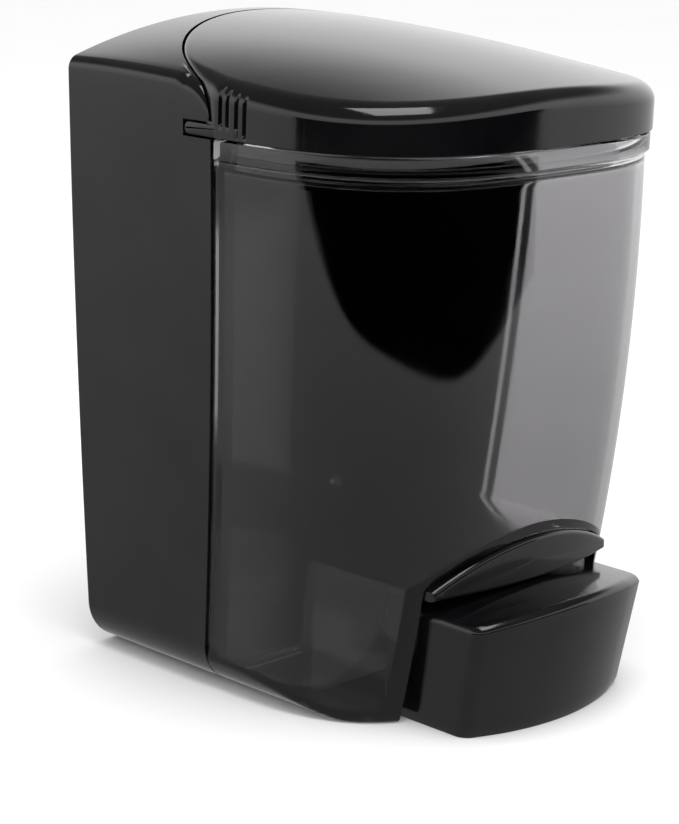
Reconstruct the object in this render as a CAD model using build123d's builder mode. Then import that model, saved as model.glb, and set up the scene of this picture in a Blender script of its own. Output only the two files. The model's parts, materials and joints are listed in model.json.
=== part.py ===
"""Wall mounted soap dispenser: black rear housing, smoked tank, lid and push pump.

Frame: millimetres, +X to the right seen from the front, +Y into the wall, +Z up.
The origin is on the wall plane, at the centre of the four wall screw holes.
Heights are measured from the lower edge of the push button and placed by level().
"""
from build123d import *
import os
from math import copysign, cos, pi, sin, sqrt

os.makedirs("parts", exist_ok=True)

# Overall size
WIDTH = 114.3
DEPTH = 114.3
HEIGHT = 152.4
HALF_WIDTH = WIDTH / 2

# Wall screw pattern
SCREW_SPACING_X = 64.0
SCREW_SPACING_Z = 88.0
SCREW_HOLE_RADIUS = 2.4
SCREW_BOSS_RADIUS = 6.0
SCREW_BOSS_DEPTH = 4.0
LOWER_SCREW_HEIGHT = 27.0
DATUM_HEIGHT = LOWER_SCREW_HEIGHT + SCREW_SPACING_Z / 2

# Walls and clearances
SHELL = 2.4
TANK_WALL = 2.2
MOVING_GAP = 0.4
SEAM_GAP = 0.2
TANK_SIDE_GAP = 1.2
TANK_SIDE_INSET = 0.8
TANK_VIEW_INSET = 0.15
TANK_REAR_VIEW_INSET = SHELL + 0.7

# Heights, from the lower edge of the push button
FLOOR_HEIGHT = 0.0
TANK_FLOOR_HEIGHT = FLOOR_HEIGHT + SHELL + 0.4
SHOULDER_HEIGHT = 125.8
TANK_CEILING_HEIGHT = SHOULDER_HEIGHT - TANK_WALL
BAND_TOP_HEIGHT = 129.8
RIM_HEIGHT = 130.2
NECK_TOP_HEIGHT = 134.0
DECK_SIDE_HEIGHT = 143.0
BELOW = -10.0
ABOVE = HEIGHT + 9

# Side walls draw in below the deck, by a slope and a curve
SIDE_SLOPE = 0.035
SIDE_CURVE = 0.00015
SIDE_FOOT = 18.0
CORNER_RADIUS = 12.0

# Rounded shoulder of the housing over the seam
SHOULDER_SEAM_HEIGHT = 133.5
SHOULDER_TOP_HEIGHT = 142.6
SHOULDER_REACH = 9.0
SHOULDER_RADIUS = 9.2

# Seam between the housing and the tank, and the front of the tank
SEAM_DEPTH = 47.3
SEAM_CURVE = 0.0004
FRONT_DEPTH = 99.3
FRONT_SLOPE = 0.071
FRONT_CURVE = 0.001
FRONT_EXPONENT = 3.06
FRONT_STEPS = 14

# Lid: the rounded front and the arched rear edge
LID_HALF_WIDTH = 56.9
LID_FRONT = 100.8
LID_REAR = 5.0
LID_CORNER_DEPTH = 48.8
LID_RISE = LID_CORNER_DEPTH - LID_REAR
LID_ARCH_RADIUS = (LID_HALF_WIDTH**2 + LID_RISE**2) / (2 * LID_RISE)
LID_ARCH_CENTRE = (0, -LID_REAR - LID_ARCH_RADIUS)
LID_WALL = 2.2
LID_EDGE = [(RIM_HEIGHT, 0), (137.4, 0), (139.4, 0.42), (140.9, 1.43), (141.9, 2.8), (160, 2.8)]
TAB_REAR = 39.0
TAB_FRONT = 55.0
TAB_BOTTOM = 130.2
TAB_TOP = 133.2
GROOVE_WIDTH = 1.0
GROOVE_DEPTH = 0.8
GROOVES = [(50.4, 132.9, 141.0), (52.6, 132.9, 140.4), (55.4, 130.0, 139.8), (57.8, 130.0, 139.2)]

# Neck of the tank, and the two screws that hold it to the housing
NECK_INSET = 4.6
TANK_SCREW_X = 20.0
TANK_SCREW_HEIGHT = 130.6
TANK_SCREW_RADIUS = 1.5
TANK_SCREW_END = 5.6
TANK_POST_RADIUS = 3.4
TANK_POST_FRONT = 11.8
TANK_SCREW_HEAD = 17.6
TANK_SCREW_HEAD_RADIUS = 3.0

# Crown shared by the lid and the deck: depth, height in the middle, height at the sides
CROWN = [(0, HEIGHT, 143.0), (40, 151.0, 142.6), (75, 146.8, 139.8), (106, 141.2, 136.3)]

# Pump bay in the tank, and the hood in its arch
BAY_HALF = 31.6
BAY_BACK = 60.0
BAY_SIDE_HEIGHT = 33.0
BAY_ARCH_HEIGHT = 41.2
COVER_BOTTOM = 30.6
COVER_FRONT = 98.8
COVER_SIDE_FRONT = 94.4
COVER_REAR = 66.0
COVER_WALL = 2.0

# Push button
BUTTON_REAR = 80.0
BUTTON_TOP_HALF = 30.0
BUTTON_TOP_CORNER = 107.7
BUTTON_TOP_FRONT = DEPTH + 0.7
BUTTON_FOOT_HALF = 28.4
BUTTON_FOOT_CORNER = 103.0
BUTTON_FOOT_FRONT = 109.6
BUTTON_ARCH_HEIGHT = 30.1
BUTTON_SIDE_HEIGHT = 27.2
BUTTON_WALL = 2.2
BUTTON_CORNER_RADIUS = 4.0
BUTTON_EDGE_RADIUS = 2.0
BOSS_REAR = 99.0
BOSS_RADIUS = 5.5
WEB_THICKNESS = 1.8
WEB_OFFSET = BOSS_RADIUS - WEB_THICKNESS / 2
WEB_HEIGHT = 12.0
ROD_END = 107.0

# Pump, on an axis along Y
AXIS_HEIGHT = 16.8
BARREL_RADIUS = 9.0
BORE_RADIUS = 7.6
FLANGE_RADIUS = 11.0
BARREL_FRONT = 87.4
CHAMBER_BACK = 65.2
SPIGOT_RADIUS = 5.0
SPIGOT_BORE = 3.2
SPIGOT_REAR = 46.0
STRAINER_REAR = 38.0
LOCK_NUT_RADIUS = 9.5
LOCK_NUT_THICKNESS = 5.0
GASKET_THICKNESS = 1.2
ROD_RADIUS = 3.0
RUNNING_CLEARANCE = 0.06
FLANGE_FRONT = BAY_BACK + GASKET_THICKNESS + 2.0
CAP_THICKNESS = 1.6
PISTON_FRONT = BARREL_FRONT - 3.0
PISTON_THICKNESS = 4.0
SEAL_RADIUS = 0.95
SPRING_RADIUS = 5.4
SPRING_WIRE = 0.45
SPRING_TURNS = 6

# Inlet valve in the spigot
BALL_RADIUS = 2.2
SEAT_THICKNESS = 2.0
SEAT_HOLE = 1.5
SEAT_FRONT = SPIGOT_REAR + 0.4 + SEAT_THICKNESS
BALL_DEPTH = SEAT_FRONT + sqrt(BALL_RADIUS**2 - SEAT_HOLE**2) + 0.02
CAGE_DEPTH = 55.0

# Outlet valve and nozzle under the barrel
OUTLET_DEPTH = 69.0
OUTLET_RADIUS = 4.0
OUTLET_BORE = 2.6
OUTLET_FOOT = 4.6
NOZZLE_FOOT = 1.0
NOZZLE_RADIUS = 2.4
NOZZLE_BORE = 1.4
NOZZLE_RIM = 0.8
VALVE_THICKNESS = 0.8
VALVE_BORE = 1.2


def level(height):
    """Z of a height above the push button's lower edge."""
    return height - DATUM_HEIGHT


def half_width(height):
    """Half the width across the side walls."""
    drop = max(DECK_SIDE_HEIGHT - height, 0)
    return HALF_WIDTH - SIDE_SLOPE * drop - SIDE_CURVE * drop**2


def seam_depth(height):
    """Depth of the seam between the housing and the tank."""
    return SEAM_DEPTH - SEAM_CURVE * max(RIM_HEIGHT - height, 0) ** 2


def front_depth(height):
    """Depth of the tank's front on its centre line."""
    drop = max(RIM_HEIGHT - height, 0)
    return FRONT_DEPTH + FRONT_SLOPE * drop - FRONT_CURVE * drop**2


def round_front(half, seam, front):
    """Points from the left side wall round the front to the right one, a superellipse."""
    power = 2 / FRONT_EXPONENT
    points = []
    for step in range(FRONT_STEPS + 1):
        angle = pi * (1 - step / FRONT_STEPS)
        across = copysign(abs(cos(angle)) ** power, cos(angle)) * half
        points.append((across, -seam - (front - seam) * abs(sin(angle)) ** power))
    return points


def arch_depth(inset, across):
    """Depth of the lid's arched rear edge, drawn in by an inset, at a distance from the middle."""
    return LID_REAR + LID_ARCH_RADIUS - sqrt((LID_ARCH_RADIUS - inset) ** 2 - across**2)


def lid_outline(inset, rear_inset):
    """Edges of the lid's plan, with the rounded front and the arched rear drawn in by insets."""
    half = LID_HALF_WIDTH - inset
    corner = arch_depth(rear_inset, half)
    Spline(*round_front(half, corner, LID_FRONT - inset), tangents=[(0, -1), (0, 1)])
    ThreePointArc((half, -corner), (0, -LID_REAR - rear_inset), (-half, -corner))


def crown_form(drop):
    """Everything under the crown, lowered by a drop."""
    with BuildPart() as form:
        for depth, middle, side in CROWN:
            with BuildSketch(Plane.XZ.offset(depth)):
                with BuildLine():
                    Polyline(
                        (HALF_WIDTH, level(side - drop)),
                        (HALF_WIDTH, level(BELOW)),
                        (-HALF_WIDTH, level(BELOW)),
                        (-HALF_WIDTH, level(side - drop)),
                    )
                    ThreePointArc(
                        (-HALF_WIDTH, level(side - drop)),
                        (0, level(middle - drop)),
                        (HALF_WIDTH, level(side - drop)),
                    )
                make_face()
        loft()
    return form.part


def front_view_form(inset, floor, depth):
    """Front view of the housing, drawn in by an inset, from the wall to a depth."""
    heights = [DECK_SIDE_HEIGHT, 110, 80, 50, SIDE_FOOT]
    with BuildPart() as form:
        with BuildSketch(Plane.XZ) as view:
            with BuildLine():
                Spline(*[(half_width(h) - inset, level(h)) for h in heights])
                Spline(*[(inset - half_width(h), level(h)) for h in heights])
                foot = half_width(SIDE_FOOT) - inset
                Polyline(
                    (foot, level(SIDE_FOOT)),
                    (foot - 0.6, level(floor)),
                    (0.6 - foot, level(floor)),
                    (-foot, level(SIDE_FOOT)),
                )
                Polyline(
                    (HALF_WIDTH - inset, level(DECK_SIDE_HEIGHT)),
                    (HALF_WIDTH - inset, level(ABOVE)),
                    (inset - HALF_WIDTH, level(ABOVE)),
                    (inset - HALF_WIDTH, level(DECK_SIDE_HEIGHT)),
                )
            make_face()
            corners = view.vertices().group_by(Axis.Y)[0]
            fillet(corners, CORNER_RADIUS - inset)
        extrude(amount=depth)
    return form.part


def tank_front_form(inset, floor, top):
    """Rounded front part of the tank, drawn in by an inset."""
    with BuildPart() as form:
        for height in (floor, 35, 70, 105, top):
            seam = seam_depth(height) + SEAM_GAP + inset
            with BuildSketch(Plane.XY.offset(level(height))):
                with BuildLine():
                    half = half_width(height) - TANK_SIDE_INSET - inset
                    outline = round_front(half, seam, front_depth(height) - inset)
                    Spline(*outline, tangents=[(0, -1), (0, 1)])
                    Line((half, -seam), (-half, -seam))
                make_face()
        loft()
    return form.part


def tank_rear_form(inset, floor, top):
    """Rear part of the tank, which sits inside the housing."""
    rear = SCREW_BOSS_DEPTH + 1.2 + inset
    with BuildPart() as form:
        for height in (floor, 60, top):
            half = half_width(height) - SHELL - TANK_SIDE_GAP - inset
            length = seam_depth(height) + 6 - rear
            with BuildSketch(Plane.XY.offset(level(height))):
                with Locations((0, -rear)):
                    Rectangle(2 * half, length, align=(Align.CENTER, Align.MAX))
        loft()
    return form.part


def bay_form(grow, back):
    """Pump bay, grown by a wall, from its back to in front of the tank."""
    with BuildPart() as form:
        with BuildSketch(Plane.XZ.offset(back)):
            with BuildLine():
                half = BAY_HALF + grow
                Polyline(
                    (-half, level(BAY_SIDE_HEIGHT)),
                    (-half, level(BELOW)),
                    (half, level(BELOW)),
                    (half, level(BAY_SIDE_HEIGHT)),
                )
                ThreePointArc(
                    (-half, level(BAY_SIDE_HEIGHT)),
                    (0, level(BAY_ARCH_HEIGHT + grow)),
                    (half, level(BAY_SIDE_HEIGHT)),
                )
            make_face()
        extrude(amount=70)
    return form.part


def along_axis(depth):
    """Sketch plane across the pump axis at a depth, facing the room."""
    return Plane(origin=(0, -depth, level(AXIS_HEIGHT)), x_dir=(1, 0, 0), z_dir=(0, -1, 0))


tank_screw_places = [(side * TANK_SCREW_X, level(TANK_SCREW_HEIGHT)) for side in (-1, 1)]
crown = crown_form(0)
crown_under_deck = crown_form(SHELL)
crown_under_lid = crown_form(LID_WALL)

# ------------------------------------------------------------------ rear housing
housing_view = front_view_form(0, FLOOR_HEIGHT, 60)
housing_inside = front_view_form(SHELL, FLOOR_HEIGHT + SHELL, 60)

with BuildPart() as housing_side:
    with BuildSketch(Plane.YZ):
        with BuildLine():
            shoulder = (-SEAM_DEPTH, level(SHOULDER_SEAM_HEIGHT))
            shoulder_top = (-SEAM_DEPTH + SHOULDER_REACH, level(SHOULDER_TOP_HEIGHT))
            seam_heights = [FLOOR_HEIGHT - 3, 35, 70, 105]
            Spline(*[(-seam_depth(h), level(h)) for h in seam_heights], shoulder)
            RadiusArc(shoulder, shoulder_top, SHOULDER_RADIUS)
            Polyline(
                shoulder_top,
                (-20, level(150)),
                (-20, level(ABOVE)),
                (3, level(ABOVE)),
                (3, level(FLOOR_HEIGHT - 3)),
                (-seam_depth(FLOOR_HEIGHT - 3), level(FLOOR_HEIGHT - 3)),
            )
        make_face()
    extrude(amount=WIDTH, both=True)

with BuildPart() as deck_cavity:
    with BuildSketch(Plane.XY.offset(level(SHOULDER_HEIGHT - 4))):
        with Locations((0, -SHELL)):
            Rectangle(WIDTH, SEAM_DEPTH, align=(Align.CENTER, Align.MAX))
        with Locations(LID_ARCH_CENTRE):
            Circle(LID_ARCH_RADIUS + MOVING_GAP + SHELL, mode=Mode.SUBTRACT)
    extrude(amount=40)
    add(housing_inside, mode=Mode.INTERSECT)
    add(crown_under_deck, mode=Mode.INTERSECT)

with BuildPart() as lid_opening:
    with BuildSketch(Plane.XY.offset(level(SHOULDER_HEIGHT + 0.6))):
        with Locations(LID_ARCH_CENTRE):
            Circle(LID_ARCH_RADIUS + MOVING_GAP)
        with Locations((0, -LID_CORNER_DEPTH)):
            Rectangle(WIDTH + 10, DEPTH, align=(Align.CENTER, Align.MAX))
    extrude(amount=40)

with BuildPart() as housing_cavity:
    with BuildSketch(Plane.XY.offset(level(FLOOR_HEIGHT))):
        with Locations((0, -SHELL)):
            Rectangle(WIDTH, SEAM_DEPTH + 10, align=(Align.CENTER, Align.MAX))
    extrude(amount=SHOULDER_HEIGHT + 0.6 - FLOOR_HEIGHT)
    add(housing_inside, mode=Mode.INTERSECT)

with BuildPart() as rear_housing:
    add(housing_view)
    add(crown, mode=Mode.INTERSECT)
    add(housing_side.part, mode=Mode.INTERSECT)
    add(housing_cavity.part, mode=Mode.SUBTRACT)
    add(deck_cavity.part, mode=Mode.SUBTRACT)
    add(lid_opening.part, mode=Mode.SUBTRACT)
    # bosses round the four wall screw holes
    with BuildSketch(Plane.XZ.offset(SHELL / 2)):
        with GridLocations(SCREW_SPACING_X, SCREW_SPACING_Z, 2, 2):
            Circle(SCREW_BOSS_RADIUS)
    extrude(amount=SCREW_BOSS_DEPTH - SHELL / 2)
    # posts behind the tank's neck, for the tank screws
    with BuildSketch(Plane.XZ.offset(TANK_SCREW_END)):
        with Locations(*tank_screw_places):
            Circle(TANK_POST_RADIUS)
    extrude(amount=TANK_POST_FRONT - TANK_SCREW_END)
    with BuildSketch(Plane.XZ.offset(TANK_SCREW_END)):
        with Locations(*tank_screw_places):
            Circle(TANK_SCREW_RADIUS)
    extrude(amount=20, mode=Mode.SUBTRACT)
    with BuildSketch(Plane.XZ.offset(-1)):
        with GridLocations(SCREW_SPACING_X, SCREW_SPACING_Z, 2, 2):
            Circle(SCREW_HOLE_RADIUS)
    extrude(amount=SCREW_BOSS_DEPTH + 2, mode=Mode.SUBTRACT)
    # slots that take the lid's side tabs
    with BuildSketch(Plane.YZ):
        with Locations((-TAB_REAR + MOVING_GAP, level((TAB_BOTTOM + TAB_TOP) / 2))):
            Rectangle(20, TAB_TOP - TAB_BOTTOM + 2 * MOVING_GAP, align=(Align.MAX, Align.CENTER))
    extrude(amount=HALF_WIDTH + 1, both=True, mode=Mode.SUBTRACT)
rear_housing.part.label = "rear_housing"
export_step(rear_housing.part, "parts/rear_housing.step")

# ------------------------------------------------------------------ tank
bay_outside = bay_form(TANK_WALL, BAY_BACK - TANK_WALL)
bay_inside = bay_form(0, BAY_BACK)
tank_view = front_view_form(TANK_VIEW_INSET, FLOOR_HEIGHT, 120)
tank_inside_view = front_view_form(TANK_VIEW_INSET + TANK_WALL, FLOOR_HEIGHT + TANK_WALL, 120)
tank_rear_view = front_view_form(TANK_REAR_VIEW_INSET, TANK_FLOOR_HEIGHT, 120)
tank_rear_inside_view = front_view_form(
    TANK_REAR_VIEW_INSET + TANK_WALL, TANK_FLOOR_HEIGHT + TANK_WALL, 120
)

with BuildPart() as tank_outside:
    add(tank_front_form(0, FLOOR_HEIGHT, SHOULDER_HEIGHT))
    add(tank_view, mode=Mode.INTERSECT)

with BuildPart() as tank_rear:
    add(tank_rear_form(0, TANK_FLOOR_HEIGHT, SHOULDER_HEIGHT))
    add(tank_rear_view, mode=Mode.INTERSECT)

with BuildPart() as tank_rear_inside:
    add(tank_rear_form(TANK_WALL, TANK_FLOOR_HEIGHT, TANK_CEILING_HEIGHT))
    add(tank_rear_inside_view, mode=Mode.INTERSECT)

with BuildPart() as tank_inside:
    add(tank_front_form(TANK_WALL, FLOOR_HEIGHT, TANK_CEILING_HEIGHT))
    add(tank_inside_view, mode=Mode.INTERSECT)
    add(tank_rear_inside.part)
    # mouth, up through the neck
    with BuildSketch(Plane.XY.offset(level(TANK_CEILING_HEIGHT - 1))):
        with BuildLine():
            lid_outline(NECK_INSET + TANK_WALL, NECK_INSET + TANK_WALL)
        make_face()
    extrude(amount=NECK_TOP_HEIGHT + 2 - TANK_CEILING_HEIGHT)

with BuildPart() as bay_lining:
    add(bay_outside)
    add(tank_outside.part, mode=Mode.INTERSECT)

with BuildPart() as reservoir:
    add(tank_outside.part)
    add(tank_rear.part)
    # band under the lid's rim
    with BuildSketch(Plane.XY.offset(level(SHOULDER_HEIGHT - 0.2))):
        with BuildLine():
            lid_outline(0.4, 0.4)
        make_face()
        with Locations((0, -SEAM_DEPTH - 0.6)):
            Rectangle(WIDTH, SEAM_DEPTH, align=(Align.CENTER, Align.MIN), mode=Mode.SUBTRACT)
    extrude(amount=BAND_TOP_HEIGHT - SHOULDER_HEIGHT + 0.2)
    # neck inside the lid
    with BuildSketch(Plane.XY.offset(level(SHOULDER_HEIGHT - 0.2))):
        with BuildLine():
            lid_outline(NECK_INSET, NECK_INSET)
        make_face()
    extrude(amount=NECK_TOP_HEIGHT - SHOULDER_HEIGHT + 0.2)
    add(tank_inside.part, mode=Mode.SUBTRACT)
    add(bay_lining.part)
    add(bay_inside, mode=Mode.SUBTRACT)
    # hole for the pump's spigot
    with BuildSketch(along_axis(BAY_BACK - TANK_WALL - 1)):
        Circle(SPIGOT_RADIUS + 0.2)
    extrude(amount=TANK_WALL + 2, mode=Mode.SUBTRACT)
    # holes for the tank screws
    with BuildSketch(Plane.XZ.offset(TANK_SCREW_END)):
        with Locations(*tank_screw_places):
            Circle(TANK_SCREW_RADIUS + 0.3)
    extrude(amount=14, mode=Mode.SUBTRACT)
reservoir.part.label = "reservoir"
export_step(reservoir.part, "parts/reservoir.step")

with BuildPart() as tank_screws:
    with BuildSketch(Plane.XZ.offset(TANK_SCREW_END)):
        with Locations(*tank_screw_places):
            Circle(TANK_SCREW_RADIUS)
    extrude(amount=TANK_SCREW_HEAD - TANK_SCREW_END + 1)
    with BuildSketch(Plane.XZ.offset(TANK_SCREW_HEAD)):
        with Locations(*tank_screw_places):
            Circle(TANK_SCREW_HEAD_RADIUS)
    extrude(amount=2.0)
    with BuildSketch(Plane.XZ.offset(TANK_SCREW_HEAD + 1.0)):
        with Locations(*tank_screw_places):
            Rectangle(3.6, 0.8)
            Rectangle(0.8, 3.6)
    extrude(amount=2.0, mode=Mode.SUBTRACT)
tank_screws.part.label = "tank_screws"
export_step(tank_screws.part, "parts/tank_screws.step")

# ------------------------------------------------------------------ lid
with BuildPart() as lid_cavity:
    with BuildSketch(Plane.XY.offset(level(RIM_HEIGHT - 5))):
        with BuildLine():
            lid_outline(LID_WALL, -2)
        make_face()
    extrude(amount=30)
    add(crown_under_lid, mode=Mode.INTERSECT)

with BuildPart() as lid:
    for height, inset in LID_EDGE:
        with BuildSketch(Plane.XY.offset(level(height))):
            with BuildLine():
                lid_outline(inset, 0)
            make_face()
    loft(ruled=True)
    add(crown, mode=Mode.INTERSECT)
    add(lid_cavity.part, mode=Mode.SUBTRACT)
    # side tabs that sit in the housing's slots
    for side in (-1, 1):
        with BuildSketch(Plane.XY.offset(level(TAB_BOTTOM))):
            with Locations((side * (LID_HALF_WIDTH - 0.2), -TAB_REAR)):
                wide = (Align.MAX, Align.MAX) if side > 0 else (Align.MIN, Align.MAX)
                Rectangle(LID_WALL - 0.6, TAB_FRONT - TAB_REAR, align=wide)
        extrude(amount=TAB_TOP - TAB_BOTTOM)
    # finger grooves
    for depth, low, high in GROOVES:
        with BuildSketch(Plane.YZ.offset(-HALF_WIDTH - 2)):
            with Locations((-depth, level((low + high) / 2))):
                Rectangle(GROOVE_WIDTH, high - low)
        extrude(amount=2 + HALF_WIDTH - LID_HALF_WIDTH + GROOVE_DEPTH, mode=Mode.SUBTRACT)
        with BuildSketch(Plane.YZ.offset(HALF_WIDTH + 2)):
            with Locations((-depth, level((low + high) / 2))):
                Rectangle(GROOVE_WIDTH, high - low)
        extrude(amount=-2 - HALF_WIDTH + LID_HALF_WIDTH - GROOVE_DEPTH, mode=Mode.SUBTRACT)
lid.part.label = "lid"
export_step(lid.part, "parts/lid.step")

# ------------------------------------------------------------------ pump cover
def cover_form(wall, rear):
    """Arched hood, drawn in by a wall, from a rear depth to its bowed front."""
    with BuildPart() as form:
        with BuildSketch(Plane.XZ.offset(rear)):
            with BuildLine():
                half = BAY_HALF - MOVING_GAP - wall
                low = level(COVER_BOTTOM + 0.6 * wall)
                shoulder = level(BAY_SIDE_HEIGHT - MOVING_GAP / 2 - 0.3 * wall)
                Polyline((-half, shoulder), (-half, low), (half, low), (half, shoulder))
                ThreePointArc(
                    (-half, shoulder),
                    (0, level(BAY_ARCH_HEIGHT - MOVING_GAP - wall)),
                    (half, shoulder),
                )
            make_face()
        extrude(amount=50)
        with BuildSketch(Plane.XY.offset(level(COVER_BOTTOM - 2))):
            with BuildLine():
                half = BAY_HALF + 1
                Polyline(
                    (-half, -COVER_SIDE_FRONT + wall),
                    (-half, -rear),
                    (half, -rear),
                    (half, -COVER_SIDE_FRONT + wall),
                )
                ThreePointArc(
                    (-half, -COVER_SIDE_FRONT + wall),
                    (0, -COVER_FRONT + wall),
                    (half, -COVER_SIDE_FRONT + wall),
                )
            make_face()
        extrude(amount=20, mode=Mode.INTERSECT)
    return form.part


cover_outside = cover_form(0, COVER_REAR)
cover_inside = cover_form(COVER_WALL, COVER_REAR - 1)

with BuildPart() as pump_cover:
    add(cover_outside)
    add(cover_inside, mode=Mode.SUBTRACT)
pump_cover.part.label = "pump_cover"
export_step(pump_cover.part, "parts/pump_cover.step")

# ------------------------------------------------------------------ push button
def button_form(inset):
    """Tapered block of the button, drawn in by an inset, with an arched top."""
    foot = (0, BUTTON_FOOT_HALF, BUTTON_FOOT_CORNER, BUTTON_FOOT_FRONT)
    top = (BUTTON_ARCH_HEIGHT + 2, BUTTON_TOP_HALF, BUTTON_TOP_CORNER, BUTTON_TOP_FRONT)
    with BuildPart() as form:
        for height, half, corner, front in (foot, top):
            with BuildSketch(Plane.XY.offset(level(height))) as plan:
                with BuildLine():
                    side = half - inset
                    Polyline(
                        (-side, -corner + inset),
                        (-side, -BUTTON_REAR + inset),
                        (side, -BUTTON_REAR + inset),
                        (side, -corner + inset),
                    )
                    ThreePointArc((-side, -corner + inset), (0, -front + inset), (side, -corner + inset))
                make_face()
                fillet(plan.vertices().group_by(Axis.Y)[0], BUTTON_CORNER_RADIUS - inset)
        loft()
        with BuildSketch(Plane.XZ.offset(BUTTON_REAR - 10)):
            with BuildLine():
                reach = BUTTON_TOP_HALF
                ThreePointArc(
                    (-reach, level(BUTTON_SIDE_HEIGHT - inset)),
                    (0, level(BUTTON_ARCH_HEIGHT - inset)),
                    (reach, level(BUTTON_SIDE_HEIGHT - inset)),
                )
                Polyline(
                    (-reach, level(BUTTON_SIDE_HEIGHT - inset)),
                    (-reach, level(BELOW)),
                    (reach, level(BELOW)),
                    (reach, level(BUTTON_SIDE_HEIGHT - inset)),
                )
            make_face()
        extrude(amount=60, mode=Mode.INTERSECT)
    return form.part


button_outside = button_form(0)
button_inside = button_form(BUTTON_WALL)

with BuildPart() as push_button:
    add(button_outside)
    rim = push_button.edges().filter_by(lambda e: e.center().Z > level(24) and e.center().Y < -90)
    fillet(rim, BUTTON_EDGE_RADIUS)
    add(button_inside, mode=Mode.SUBTRACT)
    # boss and webs that carry the piston rod
    with BuildSketch(along_axis(BOSS_REAR)):
        Circle(BOSS_RADIUS)
        with Locations((-WEB_OFFSET, WEB_HEIGHT / 2), (WEB_OFFSET, WEB_HEIGHT / 2)):
            Rectangle(WEB_THICKNESS, WEB_HEIGHT)
    extrude(amount=BUTTON_FOOT_FRONT - BOSS_REAR)
    add(button_outside, mode=Mode.INTERSECT)
    with BuildSketch(along_axis(BOSS_REAR)):
        Circle(ROD_RADIUS)
    extrude(amount=ROD_END - BOSS_REAR, mode=Mode.SUBTRACT)
push_button.part.label = "push_button"
export_step(push_button.part, "parts/push_button.step")

# ------------------------------------------------------------------ pump
with BuildPart() as outlet_gasket:
    with BuildSketch(along_axis(BAY_BACK)):
        Circle(FLANGE_RADIUS - 0.6)
        Circle(SPIGOT_RADIUS + 0.1, mode=Mode.SUBTRACT)
    extrude(amount=GASKET_THICKNESS)
outlet_gasket.part.label = "outlet_gasket"
export_step(outlet_gasket.part, "parts/outlet_gasket.step")

with BuildPart() as pump_barrel:
    with BuildSketch(along_axis(BAY_BACK + GASKET_THICKNESS)):
        Circle(FLANGE_RADIUS)
    extrude(amount=FLANGE_FRONT - BAY_BACK - GASKET_THICKNESS)
    with BuildSketch(along_axis(BAY_BACK + GASKET_THICKNESS)):
        Circle(BARREL_RADIUS)
    extrude(amount=BARREL_FRONT - BAY_BACK - GASKET_THICKNESS)
    with BuildSketch(along_axis(SPIGOT_REAR)):
        Circle(SPIGOT_RADIUS)
    extrude(amount=BAY_BACK + GASKET_THICKNESS - SPIGOT_REAR)
    # outlet spout under the barrel
    with BuildSketch(Plane.XY.offset(level(OUTLET_FOOT))):
        with Locations((0, -OUTLET_DEPTH)):
            Circle(OUTLET_RADIUS)
    extrude(amount=AXIS_HEIGHT - BORE_RADIUS - OUTLET_FOOT)
    with BuildSketch(along_axis(CHAMBER_BACK)):
        Circle(BORE_RADIUS)
    extrude(amount=BARREL_FRONT - CHAMBER_BACK, mode=Mode.SUBTRACT)
    with BuildSketch(along_axis(SPIGOT_REAR)):
        Circle(SPIGOT_BORE)
    extrude(amount=CHAMBER_BACK - SPIGOT_REAR, mode=Mode.SUBTRACT)
    with BuildSketch(Plane.XY.offset(level(OUTLET_FOOT))):
        with Locations((0, -OUTLET_DEPTH)):
            Circle(OUTLET_BORE)
    extrude(amount=AXIS_HEIGHT - OUTLET_FOOT, mode=Mode.SUBTRACT)
pump_barrel.part.label = "pump_barrel"
export_step(pump_barrel.part, "parts/pump_barrel.step")

with BuildPart() as pump_lock_nut:
    with BuildSketch(along_axis(BAY_BACK - TANK_WALL - LOCK_NUT_THICKNESS)):
        RegularPolygon(LOCK_NUT_RADIUS, 6)
        Circle(SPIGOT_RADIUS + 0.05, mode=Mode.SUBTRACT)
    extrude(amount=LOCK_NUT_THICKNESS)
pump_lock_nut.part.label = "pump_lock_nut"
export_step(pump_lock_nut.part, "parts/pump_lock_nut.step")

with BuildPart() as inlet_seat:
    with BuildSketch(along_axis(SEAT_FRONT - SEAT_THICKNESS)):
        Circle(SPIGOT_BORE)
        Circle(SEAT_HOLE, mode=Mode.SUBTRACT)
    extrude(amount=SEAT_THICKNESS)
inlet_seat.part.label = "inlet_seat"
export_step(inlet_seat.part, "parts/inlet_seat.step")

with BuildPart() as inlet_ball:
    with Locations((0, -BALL_DEPTH, level(AXIS_HEIGHT))):
        Sphere(BALL_RADIUS)
inlet_ball.part.label = "inlet_ball"
export_step(inlet_ball.part, "parts/inlet_ball.step")

with BuildPart() as ball_cage:
    with BuildSketch(along_axis(CAGE_DEPTH)):
        Circle(SPIGOT_BORE)
        Circle(SPIGOT_BORE - 0.6, mode=Mode.SUBTRACT)
        Rectangle(2 * SPIGOT_BORE - 0.6, 0.8)
        Rectangle(0.8, 2 * SPIGOT_BORE - 0.6)
    extrude(amount=1.6)
ball_cage.part.label = "ball_cage"
export_step(ball_cage.part, "parts/ball_cage.step")

with BuildPart() as inlet_strainer:
    with BuildSketch(along_axis(STRAINER_REAR)):
        Circle(SPIGOT_RADIUS + 1.4)
    extrude(amount=SPIGOT_REAR + 4 - STRAINER_REAR)
    with BuildSketch(along_axis(STRAINER_REAR + 1.2)):
        Circle(SPIGOT_RADIUS + 0.05)
    extrude(amount=30, mode=Mode.SUBTRACT)
    with BuildSketch(Plane.XY.offset(level(AXIS_HEIGHT) - 10)):
        with GridLocations(2.4, 1, 4, 1):
            with Locations((0, -(STRAINER_REAR + SPIGOT_REAR) / 2 - 0.2)):
                Rectangle(1.0, SPIGOT_REAR - STRAINER_REAR - 3)
    extrude(amount=20, mode=Mode.SUBTRACT)
inlet_strainer.part.label = "inlet_strainer"
export_step(inlet_strainer.part, "parts/inlet_strainer.step")

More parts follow.
